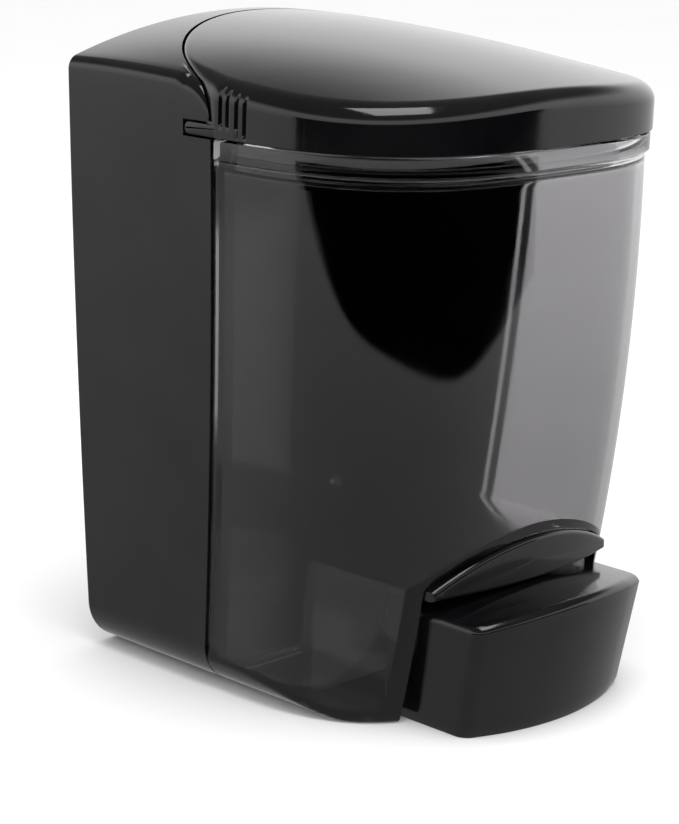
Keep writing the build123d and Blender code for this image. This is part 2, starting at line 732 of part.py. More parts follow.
with BuildPart() as barrel_cap:
    with BuildSketch(along_axis(BARREL_FRONT)):
        Circle(BARREL_RADIUS)
    extrude(amount=CAP_THICKNESS)
    with BuildSketch(along_axis(BARREL_FRONT - 2.4)):
        Circle(BORE_RADIUS)
    extrude(amount=2.4)
    with BuildSketch(along_axis(BARREL_FRONT - 3)):
        Circle(ROD_RADIUS + RUNNING_CLEARANCE)
    extrude(amount=6, mode=Mode.SUBTRACT)
barrel_cap.part.label = "barrel_cap"
export_step(barrel_cap.part, "parts/barrel_cap.step")

with BuildPart() as piston:
    with BuildSketch(along_axis(PISTON_FRONT - PISTON_THICKNESS)):
        Circle(BORE_RADIUS - 0.35)
    extrude(amount=PISTON_THICKNESS)
    with BuildSketch(along_axis(PISTON_FRONT)):
        Circle(ROD_RADIUS)
    extrude(amount=ROD_END - PISTON_FRONT)
    # groove for the seal
    with BuildSketch(along_axis(PISTON_FRONT - PISTON_THICKNESS / 2 - SEAL_RADIUS)):
        Circle(BORE_RADIUS)
        Circle(BORE_RADIUS - RUNNING_CLEARANCE / 2 - 2 * SEAL_RADIUS, mode=Mode.SUBTRACT)
    extrude(amount=2 * SEAL_RADIUS, mode=Mode.SUBTRACT)
piston.part.label = "piston"
export_step(piston.part, "parts/piston.step")

seal_depth = PISTON_FRONT - PISTON_THICKNESS / 2
with BuildPart() as piston_seal:
    with BuildSketch(Plane(origin=(0, -seal_depth, level(AXIS_HEIGHT)), x_dir=(0, 1, 0), z_dir=(1, 0, 0))):
        with Locations((0, BORE_RADIUS - RUNNING_CLEARANCE / 2 - SEAL_RADIUS)):
            Circle(SEAL_RADIUS)
    revolve(axis=Axis((0, 0, level(AXIS_HEIGHT)), (0, 1, 0)))
piston_seal.part.label = "piston_seal"
export_step(piston_seal.part, "parts/piston_seal.step")

spring_back = CHAMBER_BACK + SPRING_WIRE + 0.05
spring_length = PISTON_FRONT - PISTON_THICKNESS - spring_back - SPRING_WIRE - 0.05
with BuildPart() as return_spring:
    with BuildLine():
        coil = Helix(
            spring_length / SPRING_TURNS,
            spring_length,
            SPRING_RADIUS,
            center=(0, -spring_back, level(AXIS_HEIGHT)),
            direction=(0, -1, 0),
        )
    with BuildSketch(Plane(origin=coil @ 0, z_dir=coil % 0)):
        Circle(SPRING_WIRE)
    sweep(path=coil, is_frenet=True)
return_spring.part.label = "return_spring"
export_step(return_spring.part, "parts/return_spring.step")

with BuildPart() as button_clip:
    with BuildSketch(along_axis(BOSS_REAR - 0.9)):
        Circle(BOSS_RADIUS - 0.3)
        Circle(ROD_RADIUS, mode=Mode.SUBTRACT)
        with Locations((0, -BOSS_RADIUS / 2)):
            Rectangle(2.2, BOSS_RADIUS, mode=Mode.SUBTRACT)
    extrude(amount=0.8)
button_clip.part.label = "button_clip"
export_step(button_clip.part, "parts/button_clip.step")

with BuildPart() as outlet_valve:
    with BuildSketch(Plane.XY.offset(level(OUTLET_FOOT - VALVE_THICKNESS))):
        with Locations((0, -OUTLET_DEPTH)):
            Circle(OUTLET_RADIUS)
            Circle(VALVE_BORE, mode=Mode.SUBTRACT)
    extrude(amount=VALVE_THICKNESS)
    with BuildSketch(Plane.XY.offset(level(OUTLET_FOOT))):
        with Locations((0, -OUTLET_DEPTH)):
            Circle(OUTLET_BORE - 0.2)
            Circle(VALVE_BORE, mode=Mode.SUBTRACT)
    extrude(amount=2.4)
outlet_valve.part.label = "outlet_valve"
export_step(outlet_valve.part, "parts/outlet_valve.step")

with BuildPart() as nozzle:
    with BuildSketch(Plane.XY.offset(level(OUTLET_FOOT - VALVE_THICKNESS - NOZZLE_RIM))):
        with Locations((0, -OUTLET_DEPTH)):
            Circle(OUTLET_RADIUS)
    extrude(amount=NOZZLE_RIM)
    with BuildSketch(Plane.XY.offset(level(NOZZLE_FOOT))):
        with Locations((0, -OUTLET_DEPTH)):
            Circle(NOZZLE_RADIUS)
    extrude(amount=OUTLET_FOOT - VALVE_THICKNESS - NOZZLE_RIM - NOZZLE_FOOT)
    with BuildSketch(Plane.XY.offset(level(0))):
        with Locations((0, -OUTLET_DEPTH)):
            Circle(NOZZLE_BORE)
    extrude(amount=8, mode=Mode.SUBTRACT)
nozzle.part.label = "nozzle"
export_step(nozzle.part, "parts/nozzle.step")

with BuildPart() as nozzle_collar:
    with BuildSketch(Plane.XY.offset(level(OUTLET_FOOT - 2.6))):
        with Locations((0, -OUTLET_DEPTH)):
            Circle(OUTLET_RADIUS + 1.6)
    extrude(amount=5.0)
    with BuildSketch(Plane.XY.offset(level(OUTLET_FOOT - 1.6))):
        with Locations((0, -OUTLET_DEPTH)):
            Circle(OUTLET_RADIUS + 0.05)
    extrude(amount=6.0, mode=Mode.SUBTRACT)
    with BuildSketch(Plane.XY.offset(level(0))):
        with Locations((0, -OUTLET_DEPTH)):
                Circle(NOZZLE_RADIUS + 0.1)
    extrude(amount=6.0, mode=Mode.SUBTRACT)
nozzle_collar.part.label = "nozzle_collar"
export_step(nozzle_collar.part, "parts/nozzle_collar.step")
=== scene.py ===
"""Wall mounted soap dispenser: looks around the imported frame.

Sizes are in millimetres and metres: mm() turns one into the other, and level() places a height that is
measured from the lower edge of the push button. +X is to the right seen from the front, +Y into the wall.
"""
import json
from math import asin, atan2, cos, hypot, pi, radians, sin, sqrt

import bmesh
import bpy
from mathutils import Matrix, Vector


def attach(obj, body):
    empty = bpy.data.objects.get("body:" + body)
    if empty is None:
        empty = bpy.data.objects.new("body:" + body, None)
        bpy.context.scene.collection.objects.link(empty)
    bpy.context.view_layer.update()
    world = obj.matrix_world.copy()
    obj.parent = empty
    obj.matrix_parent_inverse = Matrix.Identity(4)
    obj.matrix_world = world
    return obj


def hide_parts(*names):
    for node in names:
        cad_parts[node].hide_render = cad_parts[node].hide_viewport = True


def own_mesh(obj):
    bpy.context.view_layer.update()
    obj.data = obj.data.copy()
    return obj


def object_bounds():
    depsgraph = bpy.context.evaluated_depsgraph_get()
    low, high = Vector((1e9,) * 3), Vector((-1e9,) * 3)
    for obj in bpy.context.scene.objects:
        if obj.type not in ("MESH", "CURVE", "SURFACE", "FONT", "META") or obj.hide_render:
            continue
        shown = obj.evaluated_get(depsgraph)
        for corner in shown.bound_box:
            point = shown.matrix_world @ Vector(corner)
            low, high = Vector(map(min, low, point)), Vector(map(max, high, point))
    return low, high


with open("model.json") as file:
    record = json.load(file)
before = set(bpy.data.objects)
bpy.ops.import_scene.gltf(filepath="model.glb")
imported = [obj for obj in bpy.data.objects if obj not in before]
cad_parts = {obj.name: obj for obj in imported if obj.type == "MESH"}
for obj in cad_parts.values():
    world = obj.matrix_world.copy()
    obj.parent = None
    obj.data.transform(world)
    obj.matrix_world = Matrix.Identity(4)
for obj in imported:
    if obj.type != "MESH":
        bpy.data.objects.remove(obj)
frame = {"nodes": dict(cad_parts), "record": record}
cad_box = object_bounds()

# ------------------------------------------------------------------ sizes in millimetres
DATUM_HEIGHT = 71.0
HALF_WIDTH = 57.15


def mm(value):
    """Millimetres as metres."""
    return value / 1000


# ------------------------------------------------------------------ materials
# colours are pairs: each material's noise runs from the first to the second
BLACK = ((0.0022, 0.0023, 0.003), (0.006, 0.006, 0.0064))
SMOKE = ((0.576, 0.565, 0.578), (0.615, 0.604, 0.618))
ACETAL = ((0.018, 0.018, 0.019), (0.034, 0.034, 0.035))
RUBBER = ((0.012, 0.012, 0.012), (0.03, 0.03, 0.029))
STEEL = ((0.52, 0.52, 0.53), (0.66, 0.66, 0.66))
FLOOR_WHITE = ((0.93, 0.93, 0.93), (0.96, 0.96, 0.96))
# the next pair is black flag cloth, also used as painted shade under the tank
CLOTH_AND_PAINTED_SHADE = ((0.0, 0.0, 0.0), (0.004, 0.004, 0.004))
GLOSS_ROUGHNESS = 0.1
MARK_ROUGHNESS = 0.05
BLACK_IOR = 1.5
SMOKE_IOR = 1.49


def new_material(name):
    """A new node material, its node tree and its shader."""
    material = bpy.data.materials.new(name)
    material.use_nodes = True
    tree = material.node_tree
    return material, tree, tree.nodes["Principled BSDF"]


def node(tree, kind, **values):
    """A node with its properties and its sockets set."""
    made = tree.nodes.new(kind)
    for key, value in values.items():
        if hasattr(made, key):
            setattr(made, key, value)
        else:
            made.inputs[key.replace("_", " ")].default_value = value
    return made


def noise(tree, scale, detail, roughness, stretch=(1, 1, 1)):
    """Noise fixed to the object's own coordinates, in metres."""
    place = node(tree, "ShaderNodeTexCoord")
    stretched = node(tree, "ShaderNodeMapping")
    stretched.inputs["Scale"].default_value = stretch
    made = node(tree, "ShaderNodeTexNoise", Scale=scale, Detail=detail, Roughness=roughness)
    tree.links.new(place.outputs["Object"], stretched.inputs["Vector"])
    tree.links.new(stretched.outputs["Vector"], made.inputs["Vector"])
    return made.outputs["Fac"]


def spread(tree, value, low, high, start=0.3, end=0.7):
    """A value mapped from one range to another."""
    made = node(tree, "ShaderNodeMapRange")
    made.inputs["From Min"].default_value = start
    made.inputs["From Max"].default_value = end
    made.inputs["To Min"].default_value = low
    made.inputs["To Max"].default_value = high
    tree.links.new(value, made.inputs["Value"])
    return made.outputs["Result"]


def blend_colours(tree, factor, first, second):
    """Two colours mixed by a factor."""
    made = node(tree, "ShaderNodeMix", data_type="RGBA")
    tree.links.new(factor, made.inputs[0])
    for socket, colour in ((6, first), (7, second)):
        if isinstance(colour, tuple):
            made.inputs[socket].default_value = (*colour, 1)
        else:
            tree.links.new(colour, made.inputs[socket])
    return made.outputs[2]


def bumps(tree, shader, *layers):
    """Bump layers, each a value and a height in metres."""
    last = None
    for value, height in layers:
        made = node(tree, "ShaderNodeBump", Strength=1.0, Distance=height)
        tree.links.new(value, made.inputs["Height"])
        if last:
            tree.links.new(last, made.inputs["Normal"])
        last = made.outputs["Normal"]
    tree.links.new(last, shader.inputs["Normal"])


def moulded_black():
    """Black moulded plastic: a faint sink and flow texture, handling marks and dust."""
    material, tree, shader = new_material("black_gloss")
    cloud = noise(tree, 38, 4, 0.6)
    fine = noise(tree, 2600, 2, 0.5)
    flow = noise(tree, 55, 2, 0.4, (1, 1, 0.35))
    scratch = noise(tree, 700, 1, 0.4, (1, 1, 0.05))
    marks = spread(tree, scratch, 0, 1, 0.66, 0.74)
    colour = blend_colours(tree, spread(tree, cloud, 0, 1, 0.35, 0.7), *BLACK)
    tree.links.new(colour, shader.inputs["Base Color"])
    rough = node(tree, "ShaderNodeMath", operation="MULTIPLY_ADD")
    tree.links.new(marks, rough.inputs[0])
    rough.inputs[1].default_value = MARK_ROUGHNESS
    tree.links.new(spread(tree, cloud, GLOSS_ROUGHNESS * 0.8, GLOSS_ROUGHNESS * 1.35), rough.inputs[2])
    tree.links.new(rough.outputs[0], shader.inputs["Roughness"])
    bumps(tree, shader, (flow, 2.2e-5), (fine, 1.4e-6), (marks, -1.0e-6))
    shader.inputs["IOR"].default_value = BLACK_IOR
    return material


def smoked_clear():
    """Smoke tinted clear plastic, a little cloudy, with moulding flow and fine haze."""
    material, tree, shader = new_material("smoked_clear")
    cloud = noise(tree, 30, 3, 0.5)
    fine = noise(tree, 1800, 2, 0.5)
    flow = noise(tree, 42, 2, 0.4, (1, 1, 0.3))
    tint = blend_colours(tree, spread(tree, cloud, 0, 1), *SMOKE)
    tree.links.new(tint, shader.inputs["Base Color"])
    tree.links.new(spread(tree, cloud, 0.02, 0.07), shader.inputs["Roughness"])
    bumps(tree, shader, (flow, 2.0e-5), (fine, 1.0e-6))
    shader.inputs["IOR"].default_value = SMOKE_IOR
    shader.inputs["Transmission Weight"].default_value = 1.0
    return material


def matt_black():
    """Black acetal, slightly grained."""
    material, tree, shader = new_material("pump_black")
    grain = noise(tree, 900, 3, 0.6)
    cloud = noise(tree, 120, 3, 0.5)
    colour = blend_colours(tree, cloud, *ACETAL)
    tree.links.new(colour, shader.inputs["Base Color"])
    tree.links.new(spread(tree, grain, 0.32, 0.5), shader.inputs["Roughness"])
    bumps(tree, shader, (grain, 6.0e-6))
    return material


def soft_rubber():
    """Black silicone rubber with a dusty bloom."""
    material, tree, shader = new_material("black_rubber")
    bloom = noise(tree, 260, 4, 0.6)
    colour = blend_colours(tree, bloom, *RUBBER)
    tree.links.new(colour, shader.inputs["Base Color"])
    tree.links.new(spread(tree, bloom, 0.55, 0.8), shader.inputs["Roughness"])
    bumps(tree, shader, (bloom, 1.2e-5))
    return material


def bright_steel():
    """Stainless steel with drawing marks."""
    material, tree, shader = new_material("spring_steel")
    lines = noise(tree, 1500, 2, 0.5, (1, 0.05, 1))
    cloud = noise(tree, 150, 3, 0.5)
    colour = blend_colours(tree, cloud, *STEEL)
    tree.links.new(colour, shader.inputs["Base Color"])
    tree.links.new(spread(tree, lines, 0.16, 0.32), shader.inputs["Roughness"])
    bumps(tree, shader, (lines, 2.0e-6))
    shader.inputs["Metallic"].default_value = 1.0
    return material


def finish(piece, material):
    """One material over a whole piece."""
    piece.data.materials.clear()
    piece.data.materials.append(material)


slot_materials = {
    "black_gloss": moulded_black(),
    "smoked_clear": smoked_clear(),
    "pump_black": matt_black(),
    "black_rubber": soft_rubber(),
    "spring_steel": bright_steel(),
}
for row in frame["record"]["subparts"]:
    cad = frame["nodes"][row["node"]]
    for slot in cad.material_slots:
        slot.material = slot_materials[row["material_slot"]]

# ------------------------------------------------------------------ mesh helpers
# edges are hard above these angles, in degrees
HARD_EDGE = 38
HARD_EDGE_AFTER_CUT = 30
WELD_DISTANCE = 2e-6


def grid_faces(rows):
    """Faces between rings of equal length."""
    width = len(rows[0])
    return [
        (r * width + c, r * width + (c + 1) % width, (r + 1) * width + (c + 1) % width, (r + 1) * width + c)
        for r in range(len(rows) - 1)
        for c in range(width)
    ]


def shape(name, points, faces, sharp):
    """A smooth mesh piece from points in millimetres, with hard edges above an angle in degrees."""
    made = bpy.data.meshes.new(name)
    made.from_pydata([tuple(mm(v) for v in point) for point in points], [], faces)
    edit = bmesh.new()
    edit.from_mesh(made)
    bmesh.ops.remove_doubles(edit, verts=edit.verts, dist=WELD_DISTANCE)
    bmesh.ops.recalc_face_normals(edit, faces=edit.faces)
    edit.to_mesh(made)
    edit.free()
    made.polygons.foreach_set("use_smooth", [True] * len(made.polygons))
    made.set_sharp_from_angle(angle=radians(sharp))
    piece = bpy.data.objects.new(name, made)
    bpy.context.scene.collection.objects.link(piece)
    return piece


def skin(name, rows, sharp=HARD_EDGE):
    """A closed piece from rings of points, with its first and last rings filled."""
    faces = grid_faces(rows)
    width = len(rows[0])
    faces.append(tuple(range(width)))
    faces.append(tuple((len(rows) - 1) * width + c for c in reversed(range(width))))
    return shape(name, [point for row in rows for point in row], faces, sharp)


def joined(name, pieces):
    """Several pieces as one."""
    edit = bmesh.new()
    for piece in pieces:
        edit.from_mesh(piece.data)
        bpy.data.objects.remove(piece)
    made = bpy.data.meshes.new(name)
    edit.to_mesh(made)
    edit.free()
    made.set_sharp_from_angle(angle=radians(HARD_EDGE))
    piece = bpy.data.objects.new(name, made)
    bpy.context.scene.collection.objects.link(piece)
    return piece


def cut(piece, cutter, operation="DIFFERENCE"):
    """One piece cut by another, which is used up."""
    change = piece.modifiers.new("cut", "BOOLEAN")
    change.operation = operation
    change.solver = "EXACT"
    change.object = cutter
    bpy.context.view_layer.update()
    result = bpy.data.meshes.new_from_object(piece.evaluated_get(bpy.context.evaluated_depsgraph_get()))
    if not result.polygons:
        raise RuntimeError(f"{piece.name}: nothing is left after the cut")
    piece.modifiers.clear()
    piece.data = result
    result.polygons.foreach_set("use_smooth", [True] * len(result.polygons))
    result.set_sharp_from_angle(angle=radians(HARD_EDGE_AFTER_CUT))
    bpy.data.objects.remove(cutter)
    return piece


def smooth_step(value):
    """0 below 0, 1 above 1 and smooth between."""
    value = min(max(value, 0), 1)
    return value * value * (3 - 2 * value)


def mix(first, second, share):
    """A share of the way from one number to another."""
    return first + (second - first) * share


def spaced(start, end, count):
    """Evenly spaced numbers with both ends."""
    return [mix(start, end, i / count) for i in range(count + 1)]


def along(points, stations):
    """Points at given lengths along a line of points."""
    lengths = [0.0]
    for first, second in zip(points, points[1:]):
        lengths.append(lengths[-1] + hypot(second[0] - first[0], second[1] - first[1]))
    found, at = [], 0
    for station in stations:
        target = station * lengths[-1]
        while at < len(points) - 2 and lengths[at + 1] < target:
            at += 1
        share = (target - lengths[at]) / max(lengths[at + 1] - lengths[at], 1e-9)
        found.append(tuple(mix(a, b, share) for a, b in zip(points[at], points[at + 1])))
    return found


def fillet_corners(points, radii, steps):
    """A closed outline with each corner rounded to its radius."""
    outline = []
    count = len(points)
    for i, (corner, radius) in enumerate(zip(points, radii)):
        here = Vector(corner)
        if radius <= 0:
            outline.append(tuple(here))
            continue
        back = (Vector(points[i - 1]) - here).normalized()
        ahead = (Vector(points[(i + 1) % count]) - here).normalized()
        half = back.angle(ahead) / 2
        centre = here + (back + ahead).normalized() * (radius / sin(half))
        start = here + back * (radius / (sin(half) / cos(half))) - centre
        end = here + ahead * (radius / (sin(half) / cos(half))) - centre
        sweep = start.angle_signed(end)
        for step in range(steps + 1):
            angle = -sweep * step / steps
            outline.append(
                (
                    centre.x + start.x * cos(angle) - start.y * sin(angle),
                    centre.y + start.x * sin(angle) + start.y * cos(angle),
                )
            )
    return outline


# ------------------------------------------------------------------ the shared shape of the case
DECK_SIDE = 143.0
SIDE_SLOPE = 0.035
SIDE_CURVE = 0.00015
RIM = 130.2
SEAM_DEPTH = 47.3
SEAM_CURVE = 0.0004
FRONT_DEPTH = 99.3
FRONT_SLOPE = 0.071
FRONT_CURVE = 0.001
FRONT_POWER = 3.06
CROWN = [(0, 152.4, 143.0), (40, 151.0, 142.6), (75, 146.8, 139.8), (106, 141.2, 136.3)]
LID_HALF = 56.9
LID_FRONT = 100.8
LID_REAR = 5.0
LID_CORNER = 48.8
LID_RISE = LID_CORNER - LID_REAR
LID_RADIUS = (LID_HALF**2 + LID_RISE**2) / (2 * LID_RISE)


def level(height):
    """Z of a height above the push button's lower edge."""
    return height - DATUM_HEIGHT


def half_width(height):
    """Half the width across the side walls."""
    drop = max(DECK_SIDE - height, 0)
    return HALF_WIDTH - SIDE_SLOPE * drop - SIDE_CURVE * drop**2


def seam_depth(height):
    """Depth of the seam between the housing and the tank."""
    return SEAM_DEPTH - SEAM_CURVE * max(RIM - height, 0) ** 2


def front_depth(height):
    """Depth of the tank's front on its centre line."""
    drop = max(RIM - height, 0)
    return FRONT_DEPTH + FRONT_SLOPE * drop - FRONT_CURVE * drop**2


def crown(across, depth):
    """Height of the crown over the lid and the deck, smooth through its four sections."""
    depth = min(max(depth, CROWN[0][0]), CROWN[-1][0])
    middle = side = 0
    for i, (own, high_mid, high_side) in enumerate(CROWN):
        weight = 1
        for j, (other, _, _) in enumerate(CROWN):
            if i != j:
                weight *= (depth - other) / (own - other)
        middle += weight * high_mid
        side += weight * high_side
    rise = middle - side
    radius = (HALF_WIDTH**2 + rise**2) / (2 * rise)
    return middle - radius + sqrt(radius**2 - min(abs(across), HALF_WIDTH) ** 2)


def arch_depth(inset, across):
    """Depth of the lid's arched rear edge, drawn in by an inset."""
    return LID_REAR + LID_RADIUS - sqrt(max((LID_RADIUS - inset) ** 2 - across**2, 0))


def front_curve(half, seam, front, count):
    """Points from the left side wall round the front to the right one, a superellipse."""
    power = 2 / FRONT_POWER
    points = []
    for step in range(count + 1):
        angle = pi * (1 - step / count)
        across = abs(cos(angle)) ** power * half * (1 if cos(angle) > 0 else -1)
        points.append((across, -seam - (front - seam) * abs(sin(angle)) ** power))
    return points


# ------------------------------------------------------------------ lid
LID_WALL = 2.2
LID_EDGE = 3.6
LID_REAR_EDGE = 0.7
LID_REAR_RIM = 136.4
LID_CENTRE = (0, -52)
GROOVES = [(50.4, 132.9, 141.0), (52.6, 132.9, 140.4), (55.4, 131.4, 139.8), (57.8, 131.4, 139.2)]
GROOVE_WIDTH = 0.85
GROOVE_DEPTH = 0.8
# points round the lid: fine steps near the grooves, coarse ones elsewhere
FINE_STEPS = 900
COARSE_STEP = 9
GROOVE_SHARE = 0.075
REAR_STEPS = 72
LID_FRONT_STEPS = 600
RIM_DRAW = 0.35
RIM_SHARE = 0.03
SIDE_STEPS = 22
EDGE_STEPS = 8
LEAST_EDGE = 0.3
REAR_EDGE_FADE = 3.2
REAR_RIM_FADE = 5
GROOVE_EDGE = 0.3
GROOVE_FOOT_FADE = 1.0
GROOVE_TOP_FADE = 1.6
GROOVE_SIDE = 40
TOP_SHARES = [0.985, 0.965, 0.94, 0.91] + spaced(0.87, 0.03, 26)
# the lid's points are drawn in towards a second ring this much further in
RING_PITCH = 8
TAB = (39.2, 56.0, 130.3, 133.1)
TAB_CORNER = 1.2
TAB_FRONT_CORNER = 0.2
TAB_CORNER_STEPS = 6
TAB_GAP = 0.05
TAB_ROOT = 0.4
TAB_EDGE = ((0.4, 0), (0.12, 0.1), (0, 0.4))


def lid_ring(inset):
    """Plan of the lid drawn in by an inset: points, each with how far it is along the rear arch, 0 to 1."""
    half = LID_HALF - inset
    corner = arch_depth(inset, half)
    front = front_curve(half, corner, LID_FRONT - inset, LID_FRONT_STEPS)
    stations = []
    for i, s in enumerate(spaced(0, 1, FINE_STEPS)):
        near_groove = s < GROOVE_SHARE or s > 1 - GROOVE_SHARE
        if near_groove or i % COARSE_STEP == 0:
            stations.append(s)
    ring = [(x, y, 0.0) for x, y in along(front, stations)]
    radius = LID_RADIUS - inset
    turn = asin(half / radius)
    for s in spaced(turn, -turn, REAR_STEPS)[1:-1]:
        ring.append((radius * sin(s), -LID_REAR - LID_RADIUS + radius * cos(s), 1 - abs(s) / turn))
    return ring


def lid_edge(rear):
    """Radius of the lid's top edge: full round the front, a hairline in the middle of the rear arch."""
    return mix(LID_EDGE, LID_REAR_EDGE, smooth_step(rear * REAR_EDGE_FADE)) if rear > 0 else LID_EDGE


def groove_depth(across, y, height):
    """How deep a finger groove is at a point of the lid's side."""
    deepest = 0
    for depth, low_end, high_end in GROOVES:
        wide = 1 - smooth_step((abs(-y - depth) - GROOVE_WIDTH / 2 + GROOVE_EDGE / 2) / GROOVE_EDGE)
        above = smooth_step((height - low_end) / GROOVE_FOOT_FADE + 0.5)
        below = smooth_step((high_end - height) / GROOVE_TOP_FADE + 0.5)
        deepest = max(deepest, GROOVE_DEPTH * wide * (above * below))
    return deepest if abs(across) > GROOVE_SIDE else 0


def lid_rows(offset):
    """Rows of the lid's skin from its rim to its middle, outside or drawn in by the wall."""
    outer = lid_ring(offset)
    inner = lid_ring(offset + RING_PITCH)
    rows = []
    rim = [mix(RIM, LID_REAR_RIM, smooth_step(rear * REAR_RIM_FADE)) for _, _, rear in outer]
    for share in [0, RIM_SHARE / 2] + spaced(RIM_SHARE, 1, SIDE_STEPS):
        row = []
        for (x, y, rear), (in_x, in_y, _), foot in zip(outer, inner, rim):
            edge = max(lid_edge(rear) - offset, LEAST_EDGE)
            top = crown(x, -y) - offset - edge
            height = mix(foot, top, share)
            draw = RIM_DRAW * (1 - smooth_step(share / RIM_SHARE)) * (1 if offset == 0 else -1)
            if offset == 0:
                draw += groove_depth(x, y, height)
            share_in = draw / RING_PITCH
            row.append((mix(x, in_x, share_in), mix(y, in_y, share_in), level(height)))
        rows.append(row)
    for step in range(1, EDGE_STEPS + 1):
        angle = pi / 2 * step / EDGE_STEPS
        row = []
        for (x, y, rear), (in_x, in_y, _) in zip(outer, inner):
            edge = max(lid_edge(rear) - offset, LEAST_EDGE)
            draw = edge * (1 - cos(angle))
            px, py = mix(x, in_x, draw / RING_PITCH), mix(y, in_y, draw / RING_PITCH)
            height = mix(crown(x, -y), crown(px, -py), sin(angle)) - offset - edge * (1 - sin(angle))
            groove = groove_depth(x, y, height) / RING_PITCH if offset == 0 else 0
            row.append((mix(px, in_x, groove), mix(py, in_y, groove), level(height)))
        rows.append(row)
    edge_row = rows[-1]
    for share in TOP_SHARES:
        row = []
        for x, y, _ in edge_row:
            px, py = mix(LID_CENTRE[0], x, share), mix(LID_CENTRE[1], y, share)
            row.append((px, py, level(crown(px, -py) - offset)))
        rows.append(row)
    return rows


def tab(side):
    """The lid's side tab, a tongue with a rounded rear end."""
    tongue_rear, tongue_front, low_h, high_h = TAB
    outline = fillet_corners(
        [(-tongue_rear, low_h), (-tongue_rear, high_h), (-tongue_front, high_h), (-tongue_front, low_h)],
        [TAB_CORNER, TAB_CORNER, TAB_FRONT_CORNER, TAB_FRONT_CORNER],
        TAB_CORNER_STEPS,
    )
    outer, inner = LID_HALF - TAB_GAP, LID_HALF - LID_WALL + TAB_ROOT
    mid_y, mid_h = -(tongue_rear + tongue_front) / 2, (low_h + high_h) / 2
    rows = []
    for across, draw in [(inner, 0)] + [(outer - back, draw) for back, draw in TAB_EDGE]:
        rows.append(
            [
                (side * across, y + (draw if y < mid_y else -draw), level(h + (draw if h < mid_h else -draw)))
                for y, h in outline
            ]
        )
    return skin("tab", rows)


def lid_piece():
    """Domed lid with its rolled edge, finger grooves, inner face and tabs."""
    outside = lid_rows(0)
    inside = lid_rows(LID_WALL)
    rows = list(reversed(outside)) + inside
    shell = skin("lid_shell", rows)
    return joined("lid_dome", [shell, tab(-1), tab(1)])


# ------------------------------------------------------------------ housing
SHELL = 2.4
FOOT_RADIUS = 12.0
DECK_EDGE = 3.2
EDGE_PASSES = 6
SHOULDER_START = 38.3
SHOULDER_RADIUS = 9.2
SHOULDER_HIGH = 142.75
SHOULDER_RISE = 0.45
OPENING_GAP = 0.4
OPENING_FOOT = 126.4
SIDE_FOOT = 18.0
WALL_SCREWS = [(x, h) for x in (-32.0, 32.0) for h in (27.0, 115.0)]
SCREW_HOLE = 2.4
BOSS_RADIUS = 6.0
BOSS_DEPTH = 4.0
TANK_SCREWS = [(-20.0, 130.6), (20.0, 130.6)]
POST = (3.4, 5.6, 11.8)
TANK_SCREW_RADIUS = 1.5
SLOT = (38.6, 60.0, 129.8, 133.6)
SLOT_REACH = (50, 60)
SHOULDER_MARGIN = 0.05
ARCH_MARGIN = 0.2
FOOT_INSET = 0.45
FLOOR_STEPS = 16
CORNER_STEPS = 12
WALL_SHARES = [0.04, 0.1] + spaced(0.18, 1, 28)
DECK_EDGE_STEPS = 10
DECK_STEPS = 30
SLOPE_BASE = 2
OPENING_CORNER = 2
OPENING_CORNER_STEPS = 10
BACK_SHARE = 0.994
BACK_MIDDLE = 75
DEPTH_SHARES = [0.008, 0.02] + spaced(0.045, 0.955, 34) + [0.975, 0.988, 0.996, 1.0]
ROUND_STEPS = 40


def shoulder(depth):
    """Height of the rounded shoulder over the seam, at a depth."""
    if depth < SHOULDER_START:
        return SHOULDER_HIGH + SHOULDER_RISE * (SHOULDER_START - depth)
    over = min(depth - SHOULDER_START, SHOULDER_RADIUS - SHOULDER_MARGIN)
    return SHOULDER_HIGH - SHOULDER_RADIUS + sqrt(SHOULDER_RADIUS**2 - over**2)


def deck(across, depth):
    """Height of the deck."""
    return min(crown(across, depth), shoulder(depth))


def foot_corner(inset, floor, low_half):
    """Centre and radius of the rounded lower corner."""
    radius = FOOT_RADIUS - inset
    return low_half - radius, floor + radius, radius


def deck_reach(across):
    """Depth at which the deck ends, at the lid's arch or at the seam."""
    return min(SEAM_DEPTH, arch_depth(-OPENING_GAP, min(abs(across), LID_RADIUS - ARCH_MARGIN)))


def foot_ring(inset, share):
    """Points along the floor and round the lower corner, and the height where that corner ends."""
    centre_x, centre_h, radius = foot_corner(inset, inset, half_width(SIDE_FOOT) - FOOT_INSET - inset)
    points = [(x, -share * seam_depth(inset), inset) for x in spaced(0, centre_x, FLOOR_STEPS)[:-1]]
    for step in range(CORNER_STEPS + 1):
        angle = pi / 2 * step / CORNER_STEPS
        height = centre_h - radius * cos(angle)
        points.append((centre_x + radius * sin(angle), -share * seam_depth(height), height))
    return points, centre_h


def deck_side(depth):
    """Slope of the deck at its side, and height of the centre of its rounded edge."""
    slope = atan2(deck(HALF_WIDTH - SLOPE_BASE, depth) - deck(HALF_WIDTH, depth), SLOPE_BASE)
    return slope, deck(HALF_WIDTH, depth) + DECK_EDGE * (sin(slope) - 1) / cos(slope)


